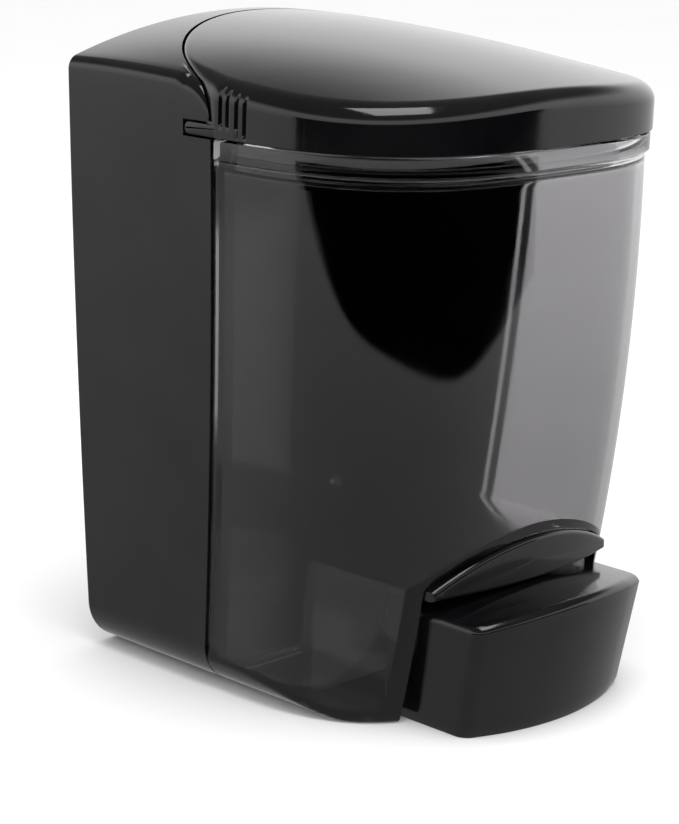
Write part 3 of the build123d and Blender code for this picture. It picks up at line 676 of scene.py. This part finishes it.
def housing_ring(share):
    """One ring of the housing's outside, a share of the way from the wall to its front edge."""
    half_ring, corner_end = foot_ring(0, share)
    _, side_end = deck_side(share * SEAM_DEPTH)
    for part in WALL_SHARES:
        height = mix(corner_end, side_end, part)
        half_ring.append((half_width(height), -share * seam_depth(height), height))
    for step in range(1, DECK_EDGE_STEPS + 1):
        across = HALF_WIDTH
        # the edge's place depends on its own depth, so it is found in a few passes
        for _ in range(EDGE_PASSES):
            slope, centre = deck_side(share * deck_reach(across))
            angle = (pi / 2 - slope) * step / DECK_EDGE_STEPS
            across = half_width(centre) - DECK_EDGE * (1 - cos(angle))
        half_ring.append((across, -share * deck_reach(across), centre + DECK_EDGE * sin(angle)))
    edge = half_ring[-1][0]
    for across in spaced(edge, 0, DECK_STEPS)[1:]:
        depth = share * deck_reach(across)
        half_ring.append((across, -depth, deck(across, depth)))
    return half_ring + [(-x, y, h) for x, y, h in reversed(half_ring[1:-1])]


def opening_ring():
    """Front edge of the housing's inside, point for point with its outer ring."""
    half_ring, corner_end = foot_ring(SHELL, 1)
    for part in WALL_SHARES:
        height = mix(corner_end, OPENING_FOOT, part)
        half_ring.append((half_width(height) - SHELL, -seam_depth(height), height))
    wide = half_width(OPENING_FOOT) - SHELL
    corner = wide - OPENING_CORNER
    for across in spaced(wide, corner, OPENING_CORNER_STEPS)[1:] + spaced(corner, 0, DECK_STEPS)[1:]:
        half_ring.append((across, -deck_reach(across), OPENING_FOOT))
    return half_ring + [(-x, y, h) for x, y, h in reversed(half_ring[1:-1])]


def cylinder(name, centre, radius, start, end):
    """A round bar along the depth, from one depth to another."""
    turns = [2 * pi * i / ROUND_STEPS for i in range(ROUND_STEPS)]
    ring = [(centre[0] + radius * cos(turn), level(centre[1] + radius * sin(turn))) for turn in turns]
    rows = [[(x, -depth, z) for x, z in ring] for depth in (start, end)]
    return skin(name, rows)


def block(name, x0, x1, depth0, depth1, low_h, high_h):
    """A block between two widths, two depths and two heights."""
    corners = [(x0, low_h), (x1, low_h), (x1, high_h), (x0, high_h)]
    rows = [[(x, -depth, level(h)) for x, h in corners] for depth in (depth0, depth1)]
    return skin(name, rows)


def housing_piece():
    """Rear housing: rounded deck and shoulder, arched opening, wall plate, bosses, posts and tab slots."""
    rows = [[(x * BACK_SHARE, 0, level(mix(BACK_MIDDLE, h, BACK_SHARE))) for x, _, h in housing_ring(0)]]
    for share in DEPTH_SHARES:
        rows.append([(x, y, level(h)) for x, y, h in housing_ring(share)])
    inner = opening_ring()
    for share in (0, 0.5, 1):
        rows.append([(x, mix(y, -SHELL, share), level(h)) for x, y, h in inner])
    shell = skin("housing_shell", rows)
    for place in WALL_SCREWS:
        cut(shell, cylinder("boss", place, BOSS_RADIUS, SHELL / 2, BOSS_DEPTH), "UNION")
    for place in TANK_SCREWS:
        cut(shell, cylinder("post", place, *POST), "UNION")
    for place in WALL_SCREWS:
        cut(shell, cylinder("hole", place, SCREW_HOLE, -1, BOSS_DEPTH + 1))
    for place in TANK_SCREWS:
        cut(shell, cylinder("hole", place, TANK_SCREW_RADIUS, POST[1], POST[2] + 1))
    for side in (-1, 1):
        ends = sorted(side * reach for reach in SLOT_REACH)
        cut(shell, block("slot", *ends, *SLOT))
    return shell


# ------------------------------------------------------------------ tank
TANK_WALL = 2.2
TANK_FLOOR = 2.8
SHOULDER_HEIGHT = 125.8
CEILING = SHOULDER_HEIGHT - TANK_WALL
BAND_TOP = 129.8
NECK_TOP = 134.0
NECK_INSET = 4.6
TANK_SIDE_INSET = 0.8
SEAM_GAP = 0.2
TANK_REAR = 5.2
TANK_REAR_INSET = 3.6
TANK_EDGE = 1.1
BAY_HALF = 31.6
BAY_BACK = 60.0
BAY_SIDE = 33.0
BAY_TOP = 41.2
AXIS_HEIGHT = 16.8
SPIGOT_HOLE = 5.2
FRONT_FOOT_INSET = 0.6
REAR_FOOT_INSET = 3.7
REAR_FOOT_ROUND = 3.1
REAR_OVERLAP = 6
OVERLAP = 0.2
BAND_INSET = 0.4
BAND_EDGE = 0.5
# the band's rear part, cut away behind the seam by a block larger than it
BAND_OFFCUT = (-70, 70, -5, SEAM_DEPTH + 0.6, 100, 150)
NECK_EDGE_SHARE = 0.3
NO_LIMIT = 1e3
NECK_EDGE = 0.4
INNER_EDGE = 1.0
BAY_FRONT = 120.0
BAY_FOOT = -10
SCREW_PASS = 0.3
SCREW_REACH = (5.6, 19.6)
RING_STEPS = 150
TANK_BACK_STEPS = 30
TANK_EDGE_STEPS = 6
NECK_REAR_STEPS = 48
BAY_STEPS = 60
TANK_REAR_STEPS = 12
FRONT_FOOT_RISES = [0.6 * i for i in range(1, 19)]
FRONT_WALL_START = 13
FRONT_WALL_STEPS = 34
REAR_FOOT_RISES = [0.7 * i for i in range(14)]
REAR_WALL_START = 12
REAR_WALL_STEPS = 24


def rounded_foot(height, half, floor, inset):
    """Half width at a height, drawn in round the lower corner."""
    centre_x, centre_h, radius = foot_corner(inset, floor, half)
    if height >= centre_h:
        return NO_LIMIT
    return centre_x + sqrt(max(radius**2 - (centre_h - height) ** 2, 0))


def tank_front_ring(height, inset, floor, draw=0.0):
    """Ring round the tank's front part at a height, with a small edge drawn in."""
    half = half_width(height) - TANK_SIDE_INSET - inset - draw
    seam = seam_depth(height) + SEAM_GAP + inset + draw
    front = front_depth(height) - inset - draw
    limit = rounded_foot(height, half_width(SIDE_FOOT) - FRONT_FOOT_INSET - inset - draw, floor, inset)
    curve = front_curve(half, seam, front, RING_STEPS)
    ring = [(max(min(x, limit), -limit), y, level(height)) for x, y in curve]
    wide = ring[-1][0]
    ring += [(x, -seam, level(height)) for x in spaced(wide, -wide, TANK_BACK_STEPS)[1:-1]]
    return ring


def tank_front(inset, floor, top, edge):
    """Front part of the tank with softened lower and upper edges."""
    rows = []
    angles = [pi / 2 * step / TANK_EDGE_STEPS for step in range(TANK_EDGE_STEPS + 1)]
    for angle in angles:
        rows.append(tank_front_ring(floor + edge * (1 - cos(angle)), inset, floor, edge * (1 - sin(angle))))
    foot_heights = [floor + edge + rise for rise in FRONT_FOOT_RISES]
    for height in foot_heights + spaced(floor + edge + FRONT_WALL_START, top - edge - 1, FRONT_WALL_STEPS):
        rows.append(tank_front_ring(height, inset, floor))
    for angle in angles:
        rows.append(tank_front_ring(top - edge * (1 - sin(angle)), inset, floor, edge * (1 - cos(angle))))
    return skin("tank_front", rows)


def tank_rear(inset, floor, top):
    """Rear part of the tank, inside the housing."""
    rows = []
    foot_heights = [floor + rise for rise in REAR_FOOT_RISES]
    for height in foot_heights + spaced(floor + REAR_WALL_START, top, REAR_WALL_STEPS):
        half = half_width(height) - TANK_REAR_INSET - inset
        foot_half = half_width(SIDE_FOOT) - REAR_FOOT_INSET - inset
        half = min(half, rounded_foot(height, foot_half, floor, REAR_FOOT_ROUND + inset))
        front = seam_depth(height) + REAR_OVERLAP
        rear = TANK_REAR + inset
        ring = [(x, front) for x in spaced(-half, half, TANK_REAR_STEPS)]
        ring += [(half, depth) for depth in spaced(front, rear, TANK_REAR_STEPS)[1:]]
        ring += [(x, rear) for x in spaced(half, -half, TANK_REAR_STEPS)[1:]]
        ring += [(-half, depth) for depth in spaced(rear, front, TANK_REAR_STEPS)[1:-1]]
        rows.append([(x, -depth, level(height)) for x, depth in ring])
    return skin("tank_rear", rows)


def neck_block(inset, low_h, high_h, edge=0.0):
    """A block with the lid's plan, drawn in by an inset."""
    rows = []
    bend = edge * NECK_EDGE_SHARE
    for height, draw in [(low_h, 0), (high_h - edge, 0), (high_h - bend, bend), (high_h, edge)]:
        half = LID_HALF - inset - draw
        corner = arch_depth(inset + draw, half)
        ring = front_curve(half, corner, LID_FRONT - inset - draw, RING_STEPS)
        radius = LID_RADIUS - inset - draw
        turn = asin(half / radius)
        for s in spaced(turn, -turn, NECK_REAR_STEPS)[1:-1]:
            ring.append((radius * sin(s), -LID_REAR - LID_RADIUS + radius * cos(s)))
        rows.append([(x, y, level(height)) for x, y in ring])
    if not edge:
        rows = [rows[0], rows[-1]]
    return skin("neck", rows)


def bay_block(grow, back):
    """The pump bay, grown by a wall, with its arched top."""
    half = BAY_HALF + grow
    rise = BAY_TOP + grow - BAY_SIDE
    radius = (half**2 + rise**2) / (2 * rise)
    arch = [(x, BAY_TOP + grow - radius + sqrt(radius**2 - x**2)) for x in spaced(half, -half, BAY_STEPS)]
    outline = [(-half, BAY_FOOT), (half, BAY_FOOT)] + arch
    rows = [[(x, -depth, level(h)) for x, h in outline] for depth in (back, BAY_FRONT)]
    return skin("bay", rows)


def tank_piece():
    """Smoked tank: shell, band and neck, pump bay, and the holes for the spigot and the screws."""
    tank = tank_front(0, 0, SHOULDER_HEIGHT, TANK_EDGE)
    cut(tank, tank_rear(0, TANK_FLOOR, SHOULDER_HEIGHT), "UNION")
    band = neck_block(BAND_INSET, SHOULDER_HEIGHT - OVERLAP, BAND_TOP, BAND_EDGE)
    cut(band, block("behind", *BAND_OFFCUT))
    cut(tank, band, "UNION")
    cut(tank, neck_block(NECK_INSET, SHOULDER_HEIGHT - OVERLAP, NECK_TOP, NECK_EDGE), "UNION")
    cut(tank, tank_front(TANK_WALL, TANK_WALL, CEILING, INNER_EDGE))
    cut(tank, tank_rear(TANK_WALL, TANK_FLOOR + TANK_WALL, CEILING))
    cut(tank, neck_block(NECK_INSET + TANK_WALL, CEILING - 1, NECK_TOP + 1))
    lining = bay_block(TANK_WALL, BAY_BACK - TANK_WALL)
    cut(lining, tank_front(0, 0, SHOULDER_HEIGHT, TANK_EDGE), "INTERSECT")
    cut(tank, lining, "UNION")
    cut(tank, bay_block(0, BAY_BACK))
    cut(tank, cylinder("hole", (0, AXIS_HEIGHT), SPIGOT_HOLE, BAY_BACK - TANK_WALL - 1, BAY_BACK + 1))
    for place in TANK_SCREWS:
        cut(tank, cylinder("hole", place, TANK_SCREW_RADIUS + SCREW_PASS, *SCREW_REACH))
    return tank


# ------------------------------------------------------------------ push button
BUTTON_REAR = 80.0
BUTTON_FOOT = (28.4, 103.0, 109.6)
BUTTON_TOP = (30.0, 107.7, 115.0)
BUTTON_TOP_LEVEL = 32.1
BUTTON_ARCH = 30.1
BUTTON_SIDE = 27.2
BUTTON_WALL = 2.2
BUTTON_CORNER = 4.0
BUTTON_EDGE = 1.9
BUTTON_BOSS = (5.5, 3.0, 99.0, 107.0)
BUTTON_ARCH_HALF = 30
BUTTON_WALL_TOP = 27
BUTTON_EDGE_LEVEL = 28
BUTTON_REAR_CORNER = 0.6
BUTTON_CORNER_STEPS = 8
BUTTON_FRONT_STEPS = 40
BUTTON_FRONT_ENDS = 6
BUTTON_RIM_DRAW = 0.3
BUTTON_RIM_SHARE = 0.05
BUTTON_SIDE_SHARES = [0, 0.02] + spaced(0.06, 1, 16)
BUTTON_CENTRE = (0, -96)
BUTTON_TOP_SHARES = (0.97, 0.9, 0.8, 0.65, 0.5, 0.35, 0.2, 0.08)
BUTTON_INNER_EDGE = 0.6
BUTTON_OPEN_FOOT = -1.0
WEB_WIDTH = 1.8
WEB_HEIGHT = 11.6
BOSS_END_WALL = 0.8


def button_top(across):
    """Height of the button's arched top."""
    rise = BUTTON_ARCH - BUTTON_SIDE
    radius = (BUTTON_ARCH_HALF**2 + rise**2) / (2 * rise)
    return BUTTON_ARCH - radius + sqrt(radius**2 - min(abs(across), BUTTON_ARCH_HALF) ** 2)


def button_ring(height, inset, rear_inset):
    """Plan of the button at a height, drawn in by one inset round the front and another behind."""
    share = height / BUTTON_TOP_LEVEL
    half, corner, front = (mix(a, b, share) - inset for a, b in zip(BUTTON_FOOT, BUTTON_TOP))
    rear = BUTTON_REAR + rear_inset
    stations = spaced(-half, half, BUTTON_FRONT_STEPS)
    bow = [(x, -corner - (front - corner) * (1 - (x / half) ** 2)) for x in stations]
    # the bow's ends are left out, to make room for the rounded corners
    near = bow[BUTTON_FRONT_ENDS:-BUTTON_FRONT_ENDS]
    points = [(-half, -rear), bow[0], *near, bow[-1], (half, -rear)]
    round_ends = [BUTTON_REAR_CORNER, BUTTON_CORNER - inset]
    return fillet_corners(points, round_ends + [0] * len(near) + round_ends[::-1], BUTTON_CORNER_STEPS)


def button_block(inset, edge, foot=0.0):
    """Tapered block with an arched top and a rolled edge."""
    rear_inset = 0 if inset == 0 else -BUTTON_WALL
    rows = []
    for share in BUTTON_SIDE_SHARES:
        draw = BUTTON_RIM_DRAW * (1 - smooth_step(share / BUTTON_RIM_SHARE)) if inset == 0 else 0
        ring = button_ring(mix(foot, BUTTON_WALL_TOP, share), inset + draw, rear_inset + draw)
        rows.append([(x, y, level(mix(foot, button_top(x) - inset - edge, share))) for x, y in ring])
    for step in range(1, EDGE_STEPS + 1):
        angle = pi / 2 * step / EDGE_STEPS
        draw = edge * (1 - cos(angle))
        ring = button_ring(BUTTON_EDGE_LEVEL, inset + draw, rear_inset + (draw if inset == 0 else -draw))
        rows.append([(x, y, level(button_top(x) - inset - edge * (1 - sin(angle)))) for x, y in ring])
    last = rows[-1]
    for share in BUTTON_TOP_SHARES:
        row = []
        for x, y, _ in last:
            px, py = mix(BUTTON_CENTRE[0], x, share), mix(BUTTON_CENTRE[1], y, share)
            row.append((px, py, level(button_top(px) - inset)))
        rows.append(row)
    return skin("button_block", rows, sharp=HARD_EDGE_AFTER_CUT)


def button_piece():
    """Push button: hollow cap open below and behind, with the boss and webs for the rod."""
    cap = button_block(0, BUTTON_EDGE)
    cut(cap, button_block(BUTTON_WALL, BUTTON_INNER_EDGE, BUTTON_OPEN_FOOT))
    outer, bore, rear, end = BUTTON_BOSS
    closed_end = end + BOSS_END_WALL
    boss = cylinder("boss", (0, AXIS_HEIGHT), outer, rear, closed_end)
    for side in (-1, 1):
        reach = sorted((side * (outer - WEB_WIDTH), side * outer))
        cut(boss, block("web", *reach, rear, closed_end, AXIS_HEIGHT, AXIS_HEIGHT + WEB_HEIGHT), "UNION")
    cut(boss, cylinder("bore", (0, AXIS_HEIGHT), bore, rear - 1, end))
    return joined("button_cap", [cap, boss])


# ------------------------------------------------------------------ pump cover
COVER_LOW = 30.6
COVER_SIDE = 32.8
COVER_TOP = 40.8
COVER_HALF = 31.2
COVER_REAR = 66.0
COVER_FRONT = 98.8
COVER_SIDE_FRONT = 94.4
COVER_EDGE = 1.0
COVER_WALL = 2.0
COVER_INNER_EDGE = 0.4
COVER_BOW_HALF = 32.6
COVER_MIDDLE = 35.6
COVER_LOW_SHARE = 0.6
COVER_SIDE_SHARE = 0.3
COVER_ARCH_STEPS = 64
COVER_LOW_STEPS = 24
COVER_EDGE_STEPS = 6
COVER_DEPTH_SHARES = [0, 0.03] + spaced(0.1, 1, 8)
COVER_FACE_SHARES = (0.92, 0.75, 0.5, 0.25, 0.06)


def cover_outline(draw):
    """Front view of the hood drawn in by an amount."""
    half, low_h = COVER_HALF - draw, COVER_LOW + draw * COVER_LOW_SHARE
    side, top = COVER_SIDE - draw * COVER_SIDE_SHARE, COVER_TOP - draw
    rise = top - side
    radius = (half**2 + rise**2) / (2 * rise)
    arch = [(x, top - radius + sqrt(radius**2 - x**2)) for x in spaced(half, -half, COVER_ARCH_STEPS)]
    return [(x, low_h) for x in spaced(-half, half, COVER_LOW_STEPS)] + arch


def cover_front(across, inset):
    """Depth of the hood's bowed front."""
    return mix(COVER_FRONT, COVER_SIDE_FRONT, (across / COVER_BOW_HALF) ** 2) - inset


def cover_block(inset, rear, edge):
    """Arched hood from its rear to its bowed front with a softened edge."""
    rows = []
    outline = cover_outline(inset)
    for share in COVER_DEPTH_SHARES:
        rows.append([(x, -mix(rear, cover_front(x, inset + edge), share), level(h)) for x, h in outline])
    for step in range(1, COVER_EDGE_STEPS + 1):
        angle = pi / 2 * step / COVER_EDGE_STEPS
        back = inset + edge * (1 - sin(angle))
        outline = cover_outline(inset + edge * (1 - cos(angle)))
        rows.append([(x, -cover_front(x, back), level(h)) for x, h in outline])
    for share in COVER_FACE_SHARES:
        row = []
        for x, h in cover_outline(inset + edge):
            px = mix(0, x, share)
            row.append((px, -cover_front(px, inset), level(mix(COVER_MIDDLE, h, share))))
        rows.append(row)
    return skin("cover_block", rows, sharp=HARD_EDGE_AFTER_CUT)


def cover_piece():
    """Arched hood above the button, hollow behind."""
    hood = cover_block(0, COVER_REAR, COVER_EDGE)
    return cut(hood, cover_block(COVER_WALL, COVER_REAR - 1, COVER_INNER_EDGE))


# ------------------------------------------------------------------ return spring
SPRING_RADIUS = 5.4
SPRING_WIRE = 0.45
SPRING_TURNS = 6
SPRING_BACK = 65.7
SPRING_LENGTH = 14.2
SPRING_STEPS = 240
WIRE_STEPS = 12


def spring_piece():
    """Coil spring behind the piston."""
    rows = []
    for share in spaced(0, 1, SPRING_STEPS):
        angle = 2 * pi * SPRING_TURNS * share
        row = []
        for turn_share in spaced(0, 1, WIRE_STEPS)[:-1]:
            radius = SPRING_RADIUS + SPRING_WIRE * cos(2 * pi * turn_share)
            depth = SPRING_BACK + SPRING_LENGTH * share + SPRING_WIRE * sin(2 * pi * turn_share)
            row.append((radius * cos(angle), -depth, level(AXIS_HEIGHT + radius * sin(angle))))
        rows.append(row)
    return skin("spring_coil", rows)


# ------------------------------------------------------------------ pieces that stand for CAD nodes
def stand_for(piece, node_name, body, slot):
    """A visual piece in place of a CAD node, on its body and with its finish."""
    finish(piece, slot_materials[slot])
    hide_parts(node_name)
    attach(piece, body)


stand_for(housing_piece(), "rear_housing", "dispenser", "black_gloss")
stand_for(tank_piece(), "reservoir", "dispenser", "smoked_clear")
stand_for(lid_piece(), "lid", "lid", "black_gloss")
stand_for(button_piece(), "push_button", "button", "black_gloss")
stand_for(cover_piece(), "pump_cover", "dispenser", "black_gloss")
spring = spring_piece()
stand_for(spring, "return_spring", "dispenser", "spring_steel")
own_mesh(spring)


# ------------------------------------------------------------------ camera
CAMERA_TURN = radians(-46.8354)
CAMERA_PITCH = radians(14.3118)
CAMERA_ROLL = radians(1.9059)
CAMERA_DISTANCE = 547.9
CAMERA_AIM = (-22.27, -55.0, 64.31 - DATUM_HEIGHT)
FOCAL_LENGTH = 103.43
SENSOR = 36.0
SHIFT = (0.0045, 0.0032)
NEAREST = 0.01

camera_data = bpy.data.cameras.new("camera")
camera = bpy.data.objects.new("camera", camera_data)
bpy.context.scene.collection.objects.link(camera)
flat = cos(CAMERA_PITCH)
away = Vector((sin(CAMERA_TURN) * flat, -cos(CAMERA_TURN) * flat, sin(CAMERA_PITCH)))
across = Vector((cos(CAMERA_TURN), sin(CAMERA_TURN), 0))
upward = away.cross(across)
right = across * cos(CAMERA_ROLL) + upward * sin(CAMERA_ROLL)
upright = upward * cos(CAMERA_ROLL) - across * sin(CAMERA_ROLL)
turn = Matrix((right, upright, away)).transposed().to_4x4()
camera.matrix_world = Matrix.Translation((Vector(CAMERA_AIM) + away * CAMERA_DISTANCE) / 1000) @ turn
camera_data.sensor_width = SENSOR
camera_data.sensor_fit = "VERTICAL"
camera_data.sensor_height = SENSOR
camera_data.lens = FOCAL_LENGTH
camera_data.shift_x, camera_data.shift_y = SHIFT
camera_data.clip_start = NEAREST
bpy.context.scene.camera = camera
bpy.context.scene.view_settings.view_transform = "Standard"

# ------------------------------------------------------------------ stage
low, high = cad_box


def stage_mesh(name, rows, material):
    """A grid of points as a stage piece that is not part of the object."""
    made = bpy.data.meshes.new(name)
    width = len(rows[0])
    faces = [
        (r * width + c, r * width + c + 1, (r + 1) * width + c + 1, (r + 1) * width + c)
        for r in range(len(rows) - 1)
        for c in range(width - 1)
    ]
    made.from_pydata([point for row in rows for point in row], [], faces)
    piece = bpy.data.objects.new(name, made)
    bpy.context.scene.collection.objects.link(piece)
    finish(piece, material)
    return piece


def pale_floor():
    """Matt near-white floor with a trace of grain."""
    material, tree, shader = new_material("pale_floor")
    grain = noise(tree, 6, 3, 0.5)
    colour = blend_colours(tree, grain, *FLOOR_WHITE)
    tree.links.new(colour, shader.inputs["Base Color"])
    shader.inputs["Roughness"].default_value = 0.9
    shader.inputs["Specular IOR Level"].default_value = 0.1
    return material


def black_cloth_and_painted_shade():
    """Black cloth for the flag, also laid under the object as painted shade seen through the tank."""
    material, tree, shader = new_material("dark_flag_and_painted_shade")
    weave = noise(tree, 200, 2, 0.5)
    colour = blend_colours(tree, weave, *CLOTH_AND_PAINTED_SHADE)
    tree.links.new(colour, shader.inputs["Base Color"])
    shader.inputs["Roughness"].default_value = 1.0
    shader.inputs["Specular IOR Level"].default_value = 0.0
    return material


REACH = 3.0
ground = low[2]
floor_sides = (-REACH, REACH)
floor = stage_mesh("floor", [[(x, y, ground) for x in floor_sides] for y in floor_sides], pale_floor())
floor.visible_glossy = floor.visible_transmission = False

# a dark flag on the camera's side, seen only in reflections and through the tank
FLAG_RADIUS = 1.3
FLAG_TURNS = (-106, 45)
FLAG_TOP = 7
FLAG_LOW = -17.5
FLAG_CORNER = 0.5
FLAG_STEPS = 48
FLAG_LIFT = 0.02
flag_rows = []
for across_step in range(FLAG_STEPS + 1):
    share = across_step / FLAG_STEPS
    azimuth = radians(FLAG_TURNS[0] + (FLAG_TURNS[1] - FLAG_TURNS[0]) * share)
    edge = abs(2 * share - 1)
    foot = radians(FLAG_LOW * (1 - FLAG_CORNER * edge**4))
    flag_rows.append(
        [
            (FLAG_RADIUS * sin(azimuth), -FLAG_RADIUS * cos(azimuth), FLAG_RADIUS * sin(tilt) + FLAG_LIFT)
            for tilt in (foot, radians(FLAG_TOP))
        ]
    )
flag = stage_mesh("flag", flag_rows, black_cloth_and_painted_shade())
flag.visible_camera = flag.visible_diffuse = flag.visible_shadow = False

# a dark sheet under the object, seen only through the tank: painted shade standing in for the shadow on the
# floor beneath the tank
CARD_REACH = 0.04
CARD_DROP = 0.0005
card_sides = (low[0], high[0] + CARD_REACH)
card_ends = (low[1], high[1] + CARD_REACH)
painted_shade_card = stage_mesh("painted_shade_card", [[(x, y, ground - CARD_DROP) for x in card_sides] for y in card_ends], black_cloth_and_painted_shade())
painted_shade_card.visible_camera = painted_shade_card.visible_diffuse = painted_shade_card.visible_glossy = painted_shade_card.visible_shadow = False

# surroundings: each fade holds its two limits and the strengths at them
UPWARD_FADE = (-0.5, 0.35, 0.43, 1.4)
OVERHEAD_FADE = (0.36, 0.58, 1.0, 0.12)
BACKDROP_FADE = (0.55, 0.85, 0.05, 1.02)
AMBIENT = 1.02


def fade(tree, value, start, end, low_strength, high_strength):
    """A strength that changes smoothly between two limits of a value."""
    made = spread(tree, value, low_strength, high_strength, start, end)
    made.node.interpolation_type = "SMOOTHSTEP"
    return made


world = bpy.data.worlds.new("studio")
bpy.context.scene.world = world
world.use_nodes = True
sky = world.node_tree
background = sky.nodes["Background"]
path = node(sky, "ShaderNodeLightPath")
place = node(sky, "ShaderNodeTexCoord")
parts = node(sky, "ShaderNodeSeparateXYZ")
sky.links.new(place.outputs["Generated"], parts.inputs[0])

# what reflections see: brighter upwards, then dim overhead
reflected = node(sky, "ShaderNodeMath", operation="MULTIPLY")
sky.links.new(fade(sky, parts.outputs["Z"], *UPWARD_FADE), reflected.inputs[0])
sky.links.new(fade(sky, parts.outputs["Z"], *OVERHEAD_FADE), reflected.inputs[1])

# what light inside the tank sees: bright only behind the object
facing = node(sky, "ShaderNodeVectorMath", operation="DOT_PRODUCT")
sky.links.new(place.outputs["Generated"], facing.inputs[0])
facing.inputs[1].default_value = -away
behind = node(sky, "ShaderNodeMix", data_type="FLOAT")
sky.links.new(path.outputs["Is Transmission Ray"], behind.inputs[0])
behind.inputs[2].default_value = AMBIENT
sky.links.new(fade(sky, facing.outputs["Value"], *BACKDROP_FADE), behind.inputs[3])

choose = node(sky, "ShaderNodeMix", data_type="FLOAT")
sky.links.new(path.outputs["Is Glossy Ray"], choose.inputs[0])
sky.links.new(behind.outputs[0], choose.inputs[2])
sky.links.new(reflected.outputs[0], choose.inputs[3])
sky.links.new(choose.outputs[0], background.inputs["Strength"])
background.inputs["Color"].default_value = (1, 1, 1, 1)


def softbox(name, place, aim, size, power):
    """A square area light."""
    data = bpy.data.lights.new(name, "AREA")
    data.shape = "RECTANGLE"
    data.size, data.size_y = size
    data.energy = power
    lamp = bpy.data.objects.new(name, data)
    bpy.context.scene.collection.objects.link(lamp)
    lamp.location = place
    lamp.rotation_euler = (Vector(aim) - Vector(place)).to_track_quat("-Z", "Y").to_euler()
    return lamp


LAMP_PLACE = (-0.1, -0.25, 0.85)
LAMP_AIM = (0, -0.05, 0)
LAMP_SIZE = (0.5, 0.5)
LAMP_POWER = 4.0
softbox("overhead", LAMP_PLACE, LAMP_AIM, LAMP_SIZE, LAMP_POWER)
